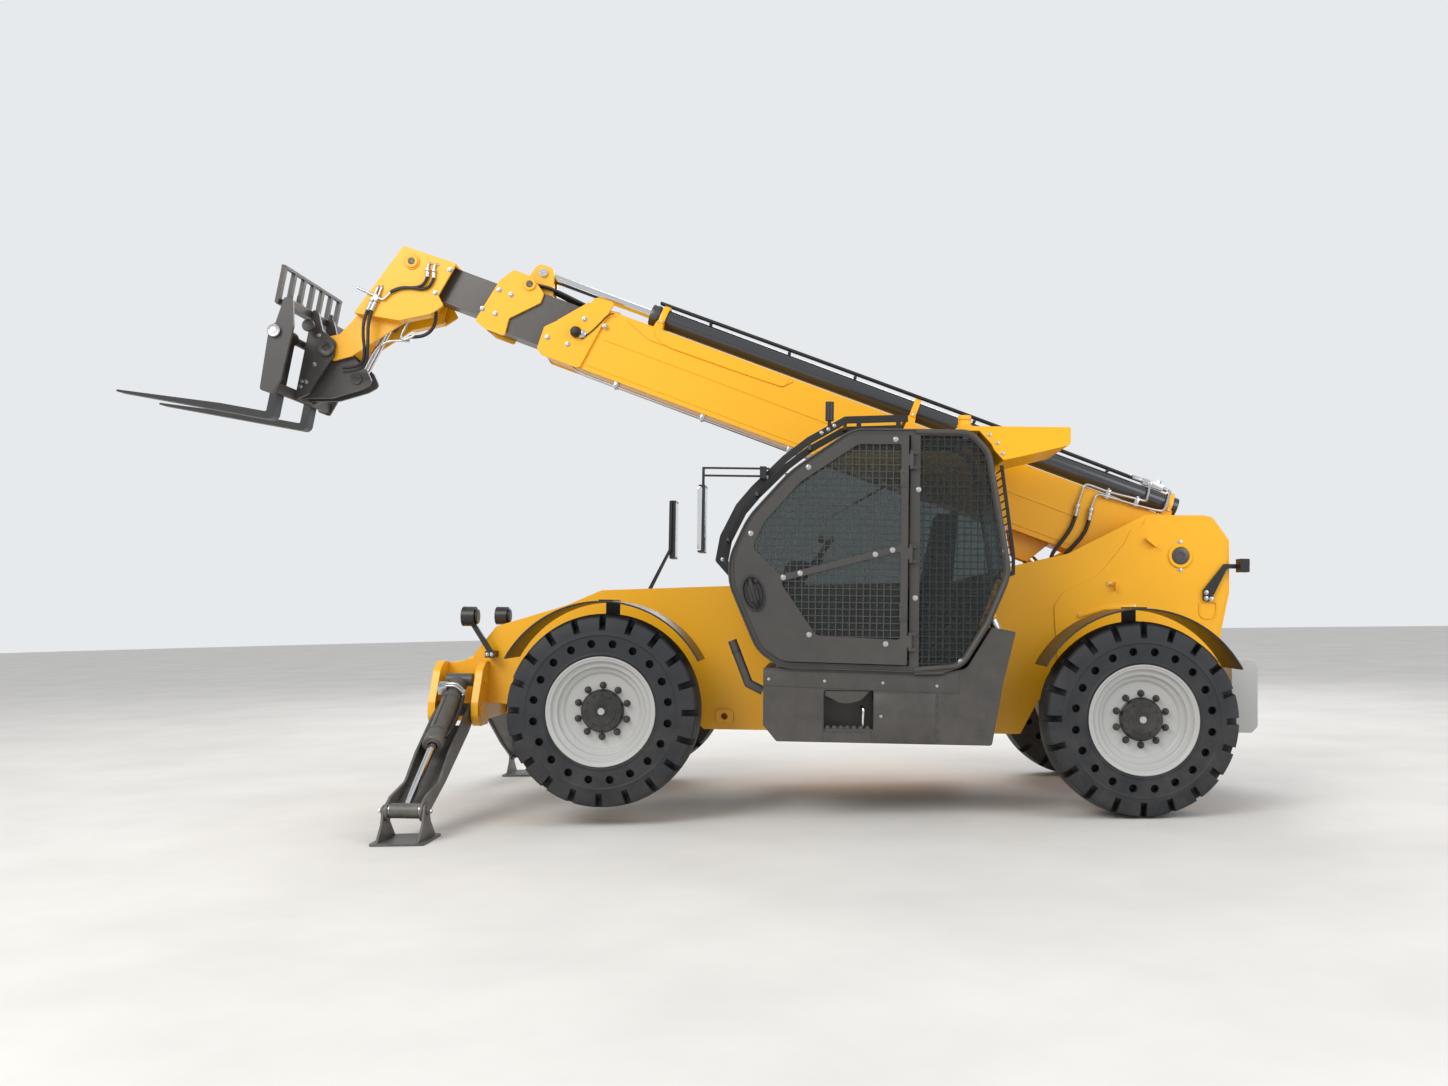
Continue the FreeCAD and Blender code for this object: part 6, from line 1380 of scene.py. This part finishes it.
class MACHINE_OT_step(bpy.types.Operator):
    """Add the step box's sill sheet, seams, toothed tread, hook and filler neck"""

    bl_idname = "machine.step"
    bl_label = "Step box"

    def execute(self, context):
        face = SKIRT_FACE
        sheets = [plate("sill_sheet", [(-2.322, 0.772), (-2.322, 0.868), (-2.250, 0.866),
            (-1.240, 0.850), (-1.120, 0.870), (-1.120, 0.740)], face - 0.003, face + 0.0002,
            CHASSIS, 0.0008), plate("lower_flap", [(-1.640, 0.735), (-1.262, 0.735),
            (-1.262, 0.432), (-1.640, 0.438)], face - 0.002, face + 0.0002, CHASSIS, 0.0006),
            plate("arched_lip", [(-1.944, 0.748), (-1.944, 0.716), (-1.905, 0.700, 0.03),
            (-1.855, 0.672, 0.08), (-1.790, 0.668, 0.08), (-1.720, 0.690, 0.06),
            (-1.672, 0.740, 0.02), (-1.672, 0.748)], face + 0.010, face + 0.016, CHASSIS, 0.001,
            5)]
        teeth = []
        for k in range(7):
            x = -1.925 + 0.041 * k
            teeth.append(plate("tread_tooth", [(x - 0.017, 0.512), (x - 0.008, 0.533, 0.006),
                (x + 0.008, 0.533, 0.006), (x + 0.017, 0.512)], face + 0.010, face + 0.016,
                CHASSIS, 0.001))
        for row in range(3):
            y = face + 0.050 + 0.050 * row
            teeth += [spun("tread_grip", [(0.007, 0.0), (0.013, 0.0), (0.009, 0.006),
                (0.007, 0.006)], CHASSIS @ at(-1.915 + 0.048 * k, y, 0.514), 12) for k in range(6)]
        fixed("step_sheets", sheets + teeth, "chassis", "grey_paint")
        seams = [block("seam", (0.0025, 0.0016, 0.300), CHASSIS @ at(-1.952, face - 0.0002,
            0.585)), block("seam", (0.0025, 0.0016, 0.052), CHASSIS
            @ at(-1.657, face - 0.0002, 0.460))]
        seams += [block("seam", (0.003, 0.0016, 0.030), CHASSIS @ at(-1.250, face - 0.0002,
            0.455 + 0.052 * k)) for k in range(6)]
        fixed("step_seams", seams, "chassis", "hose_rubber")
        screws = [facing(CHASSIS, x, face - 0.003, z) for x, z in ((-1.946, 0.805),
            (-1.587, 0.799), (-1.255, 0.785), (-2.290, 0.812))]
        screws.append(facing(CHASSIS, -1.597, face - 0.002, 0.594))
        set_of("step_screws", bolt("step_screw", 0.0065, 0.006), screws, "chassis")
        hook = tube("step_hook", [(-1.706, face + 0.045, 0.530), (-1.706, face + 0.040, 0.570),
            (-1.704, face + 0.038, 0.620), (-1.706, face + 0.050, 0.646),
            (-1.716, face + 0.070, 0.640)], 0.010, CHASSIS)
        dressed(hook, "chassis", "chrome_rod")
        neck = [drum("filler_neck", 0.030, 0.085, CHASSIS @ at(-0.880, -1.000, 1.158)
            @ turned(-25), 28, 0.003), block("filler_plate", (0.150, 0.120, 0.006),
            CHASSIS @ at(-0.850, -1.000, 1.128) @ turned(6), 0.002)]
        fixed("filler", neck, "chassis", "bright_steel")
        cap = spun("filler_cap", [(0.0, 0.040), (0.026, 0.040), (0.034, 0.030), (0.036, 0.0),
            (0.0, 0.0)], CHASSIS @ at(-0.902, -1.000, 1.205) @ turned(-25), 28, closed=False)
        dressed(cap, "chassis", "yellow_paint")
        ribs = [tube("handle_rib", [(-2.500, -1.050, 0.977), (-2.498, -1.050, 0.972)], 0.0305,
            CHASSIS, 4, False)]
        fixed("handle_seam", ribs, "chassis", "cab_plastic")
        return {"FINISHED"}


SEAT_Y = -0.7725
STEERING_PLACE = CHASSIS @ at(-2.010, SEAT_Y, 1.560) @ turned(-55)


def foam(name, size, matrix, crown):
    """A crowned moulded cushion: a fine block drawn towards a ball and rounded."""
    pad = block(name, size, IDENTITY)
    edit_all(pad)
    bpy.ops.mesh.subdivide(number_cuts=7)
    bpy.ops.object.mode_set(mode="OBJECT")
    for kind, factor, rounds in (("CAST", crown, 0), ("SMOOTH", 0.5, 4)):
        change = pad.modifiers.new(kind.lower(), kind)
        change.factor = factor
        if kind == "SMOOTH":
            change.iterations = rounds
        bpy.ops.object.modifier_apply(modifier=change.name)
    settle(pad, matrix)
    return smooth(pad, 60)


class MACHINE_OT_interior(bpy.types.Operator):
    """Replace the plain cab interior by a sprung seat, column and steering wheel"""

    bl_idname = "machine.interior"
    bl_label = "Cab interior"

    def execute(self, context):
        base = [block("seat_box", (0.330, 0.340, 0.110), CHASSIS @ at(-1.365, SEAT_Y, 0.992),
            0.012), block("seat_rails", (0.420, 0.300, 0.030), CHASSIS @ at(-1.400, SEAT_Y, 1.165),
            0.006)]
        for k in range(4):
            base.append(block("seat_bellows", (0.300 - 0.016 * (k % 2), 0.310 - 0.016 * (k % 2),
                0.0265), CHASSIS @ at(-1.365, SEAT_Y, 1.060 + 0.026 * k), 0.008))
        shell = plate("seat_shell", [(-1.238, 1.195, 0.02), (-1.290, 1.230, 0.03),
            (-1.160, 1.890, 0.05), (-1.112, 1.878, 0.03), (-1.160, 1.200, 0.02)], SEAT_Y - 0.200,
            SEAT_Y + 0.200, CHASSIS, 0.01)
        seat_frame = fixed("seat_frame", base + [shell], "chassis", "cab_plastic")
        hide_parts("cab_interior")
        for name, size, x, z, tilt in (("seat_cushion", (0.470, 0.460, 0.105), -1.485, 1.233, 3),
                ("seat_back", (0.110, 0.440, 0.600), -1.240, 1.575, 10.5)):
            pad = foam(name, size, CHASSIS @ at(x, SEAT_Y, z) @ turned(tilt), 0.10)
            dressed(pad, "chassis", "seat_cloth")
        bpy.ops.object.select_all(action="DESELECT")
        bpy.ops.mesh.primitive_torus_add(major_segments=48, minor_segments=12, major_radius=0.180,
            minor_radius=0.0145)
        rim = settle(added("steering_ring"), STEERING_PLACE)
        spokes = []
        for k in range(3):
            turn = turned(90 + 120 * k, "Z")
            spokes.append(tube("steering_spoke", [(0.0, 0.030, -0.016), (0.0, 0.100, -0.008),
                (0.0, 0.172, 0.0)], 0.010, STEERING_PLACE @ turn))
        hub = drum("steering_hub", 0.042, 0.045, STEERING_PLACE @ at(0, 0, -0.012), 28, 0.008)
        knob = spun("steering_knob", [(0.0, 0.062), (0.018, 0.056), (0.024, 0.040), (0.016, 0.020),
            (0.008, 0.012), (0.008, 0.0), (0.0, 0.0)], STEERING_PLACE @ at(0.127, -0.127, 0.010),
            20, closed=False)
        column = plate("steering_column", [(-2.214, 0.948), (-2.322, 1.150, 0.06),
            (-2.196, 1.556, 0.06), (-2.084, 1.556, 0.04), (-2.020, 1.536, 0.02),
            (-2.084, 1.420, 0.04), (-2.094, 0.948)], SEAT_Y - 0.066, SEAT_Y + 0.066, CHASSIS,
            0.008)
        fixed("steering_set", [smooth(rim), hub, knob, column] + spokes, "chassis", "cab_plastic")
        return {"FINISHED"}


class MACHINE_OT_lamps(bpy.types.Operator):
    """Add lenses and bezels to the head lamps and rear lamps, and the fenders' beads"""

    bl_idname = "machine.lamps"
    bl_label = "Lamps and fenders"

    def execute(self, context):
        bezels, reflectors, lenses, reds, ambers, bolts = [], [], [], [], [], []
        for side in (LEFT, RIGHT):
            front = CHASSIS @ at(FRONT_X - 1.063, side * 0.450, 1.165) @ turned(-90)
            bezels.append(spun("bezel", [(0.0585, -0.004), (0.0665, -0.004), (0.0665, 0.004),
                (0.0625, 0.008), (0.0585, 0.004)], front, 36))
            reflectors.append(spun("reflector", [(0.0, 0.0008), (0.057, 0.0008), (0.057, 0.003),
                (0.0, 0.0016)], front, 32, closed=False))
            lenses.append(spun("lens", [(0.0, 0.0088), (0.030, 0.0078), (0.0575, 0.0045),
                (0.0575, 0.0035), (0.030, 0.0050), (0.0, 0.0058)], front, 32, closed=False))
            bezels.append(drum("lamp_heat_sink", 0.050, 0.018, CHASSIS
                @ at(FRONT_X - 0.974, side * 0.450, 1.165) @ ALONG_X, 24, 0.004))
            bolts += [facing(CHASSIS, FRONT_X + x, side * 0.480, z, side) for x,
                z in ((-0.893, 0.912), (-0.863, 0.912))]
            rear = at(0.890, side * 0.405, 1.580)
            reds.append(block("rear_lens", (0.006, 0.076, 0.044), CHASSIS @ rear
                @ at(0.002, 0, 0.018), 0.003))
            ambers.append(block("rear_amber", (0.006, 0.076, 0.030),
                CHASSIS @ rear @ at(0.002, 0, -0.022), 0.003))
        fixed("lamp_bezels", bezels, "chassis", "black_paint")
        fixed("lamp_reflectors", reflectors, "chassis", "chrome_rod")
        fixed("lamp_lenses", lenses, "chassis", "lamp_lens")
        fixed("rear_red_lenses", reds, "chassis", "red_lens")
        fixed("rear_amber_lenses", ambers, "chassis", "amber_lens")
        set_of("lamp_bolts", hex_bolt("lamp_bolt", 0.009, 0.008), bolts, "chassis")
        self.fender_beads()
        return {"FINISHED"}

    def fender_beads(self):
        """A rubber bead along the outer edge of each fender."""
        radius = 0.676
        for end, along in (("front", FRONT_X), ("rear", 0.0)):
            for name, side in SIDES:
                arc = []
                for degrees in range(29, 152, 6):
                    turn = math.radians(degrees)
                    arc.append((along + radius * math.cos(turn), side * 1.2125,
                        AXLE_HEIGHT + radius * math.sin(turn)))
                dressed(tube(f"fender_bead_{end}_{name}", arc, 0.0055, CHASSIS),
                    f"knuckle_{end}_{name}", "hose_rubber")


LEG_X = FRONT_X - 1.073
RAM_BASE = Vector((LEG_X, -0.470, 0.740))
FOOT_PIN = Vector((-1.468421, -1.545, 0.175))
RAM_LOW = CHASSIS.inverted() @ FOOT_PIN
RAM_LINE = (RAM_LOW - RAM_BASE).normalized()


def ram_frame():
    """The near stabilizer ram: its own Z runs from the base pin to the foot, its own X to the rear."""
    across = Vector((1, 0, 0))
    up = RAM_LINE.cross(across).normalized()
    turn = Matrix((across, up, RAM_LINE)).transposed().to_4x4()
    return at(*RAM_BASE) @ turn


class MACHINE_OT_legs(bpy.types.Operator):
    """Add valve blocks, pipes, bands and the eyes' sleeves to the stabilizers"""

    bl_idname = "machine.legs"
    bl_label = "Stabilizers"

    def execute(self, context):
        for side, place in (("left", CHASSIS @ ram_frame()), ("right",
                CHASSIS @ MIRROR_Y @ ram_frame())):
            for name, body, material, pieces in self.ram_pieces():
                one = copies_of(joined(name, pieces), [place])
                fixed(f"{name}_{side}", one, f"{body}_{side}", material)
        return {"FINISHED"}

    def ram_pieces(self):
        """Name, body, material and parts of each piece on a ram, in the ram's own frame."""
        length = (RAM_LOW - RAM_BASE).length
        steel = [block("leg_valve", (0.062, 0.060, 0.074), at(-0.062, 0.052, 0.165), 0.005)]
        steel += [tube("leg_pipe", [(-0.040, 0.076, z), (0.0, 0.086, z + 0.002),
            (0.045, 0.072, z + 0.010), (0.074, 0.038, z + 0.022)], SMALL_PIPE, IDENTITY)
            for z in (0.150, 0.174)]
        steel.append(fitting("leg_fitting", (0.074, 0.020, 0.205), (0.074, 0.040, 0.165), 0.0105))
        rubber = [tube("leg_line", [(0.074, 0.022, 0.200), (0.078, 0.004, 0.260),
            (0.079, -0.004, 0.380), (0.077, 0.000, 0.520), (0.068, 0.010, 0.620),
            (0.050, 0.022, 0.640)], 0.0115, IDENTITY), block("barrel_slot", (0.008, 0.004, 0.330),
            at(-0.018, 0.0595, 0.400), 0.001)]
        bands = [spun("barrel_band", [(0.0615, z), (0.0665, z + 0.002), (0.0665, z + 0.016),
            (0.0615, z + 0.018)], IDENTITY, 40) for z in (0.225, 0.560)]
        bands.append(spun("leg_gland", [(0.030, 0.655), (0.066, 0.655), (0.068, 0.662),
            (0.068, 0.682), (0.062, 0.690), (0.030, 0.692)], IDENTITY, 40))
        sleeve = spun("eye_cover", [(0.0422, -0.088), (0.0442, -0.086), (0.0442, 0.086),
            (0.0422, 0.088)], at(0, 0, length) @ ALONG_X, 36)
        heads = [drum("pin_head", 0.013, 0.010, at(x, 0, length) @ turned(turn), 6, 0.001) for x,
            turn in ((0.151, 90), (-0.151, -90))]
        return [("leg_steel", "leg_barrel", "bright_steel", steel),
            ("leg_rubber", "leg_barrel", "hose_rubber", rubber), ("leg_bands", "leg_barrel",
            "leg_paint", bands), ("eye_sleeve", "leg_rod", "leg_paint", [sleeve]),
            ("foot_pin_heads", "foot", "bright_steel", heads)]


class MACHINE_OT_pod(bpy.types.Operator):
    """Add the engine hood's louvres, handles and seams, and the weight's bolts"""

    bl_idname = "machine.pod"
    bl_label = "Engine pod"

    def execute(self, context):
        slats = [block("louvre", (0.030, 0.006, 0.110), CHASSIS @ at(start + 0.055 * k, 1.1305,
            1.075), 0.002) for start in (-2.150, -1.250) for k in range(9)]
        fixed("hood_louvres", slats, "engine_hood", "black_paint")
        grips = [tube("hood_grip", [(x - 0.06, 1.128, 1.020), (x - 0.05, 1.146, 1.020),
            (x + 0.05, 1.146, 1.020), (x + 0.06, 1.128, 1.020)], 0.006, CHASSIS, 3, False)
            for x in (-2.05, -1.15)]
        fixed("hood_grips", grips, "engine_hood", "cab_plastic")
        lines = [block("tub_rib", (1.440, 0.004, 0.010), CHASSIS @ at(-1.638, 1.131, z), 0.001)
            for z in (0.520, 0.900)]
        lines += [block("tub_door", (0.004, 0.004, 0.370), CHASSIS @ at(x, 1.131, 0.710), 0.001)
            for x in (-1.90, -1.35)]
        fixed("tub_ribs", lines, "chassis", "grey_paint")
        caps = [CHASSIS @ at(0.8905, y, z) @ ALONG_X for y in (-0.45, 0.45)
            for z in (0.600, 0.830)]
        set_of("weight_bolts", hex_bolt("weight_bolt", 0.020, 0.016), caps, "chassis")
        return {"FINISHED"}


CLASSES = [MachineSettings, MACHINE_OT_finishes, MACHINE_OT_stage, MACHINE_OT_tyres,
    MACHINE_OT_rims, MACHINE_OT_boom, MACHINE_OT_head, MACHINE_OT_tower, MACHINE_OT_cab,
    MACHINE_OT_step, MACHINE_OT_interior, MACHINE_OT_lamps, MACHINE_OT_legs, MACHINE_OT_pod]


class MACHINE_PT_panel(bpy.types.Panel):
    """The machine's settings and the steps that dress it"""

    bl_idname = "MACHINE_PT_panel"
    bl_label = "Telehandler"
    bl_space_type = "VIEW_3D"
    bl_region_type = "UI"
    bl_category = "Telehandler"

    def draw(self, context):
        column = self.layout.column()
        for name in MachineSettings.__annotations__:
            column.prop(settings(), name)
        for cls in CLASSES:
            if issubclass(cls, bpy.types.Operator):
                column.operator(cls.bl_idname)


def register():
    for cls in CLASSES + [MACHINE_PT_panel]:
        bpy.utils.register_class(cls)
    bpy.types.Scene.machine_settings = bpy.props.PointerProperty(type=MachineSettings)


def unregister():
    del bpy.types.Scene.machine_settings
    for cls in reversed(CLASSES + [MACHINE_PT_panel]):
        bpy.utils.unregister_class(cls)


def main():
    """Register the add-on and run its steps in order."""
    register()
    for cls in CLASSES:
        if issubclass(cls, bpy.types.Operator):
            section, action = cls.bl_idname.split(".")
            getattr(getattr(bpy.ops, section), action)()


if __name__ == "__main__":
    main()
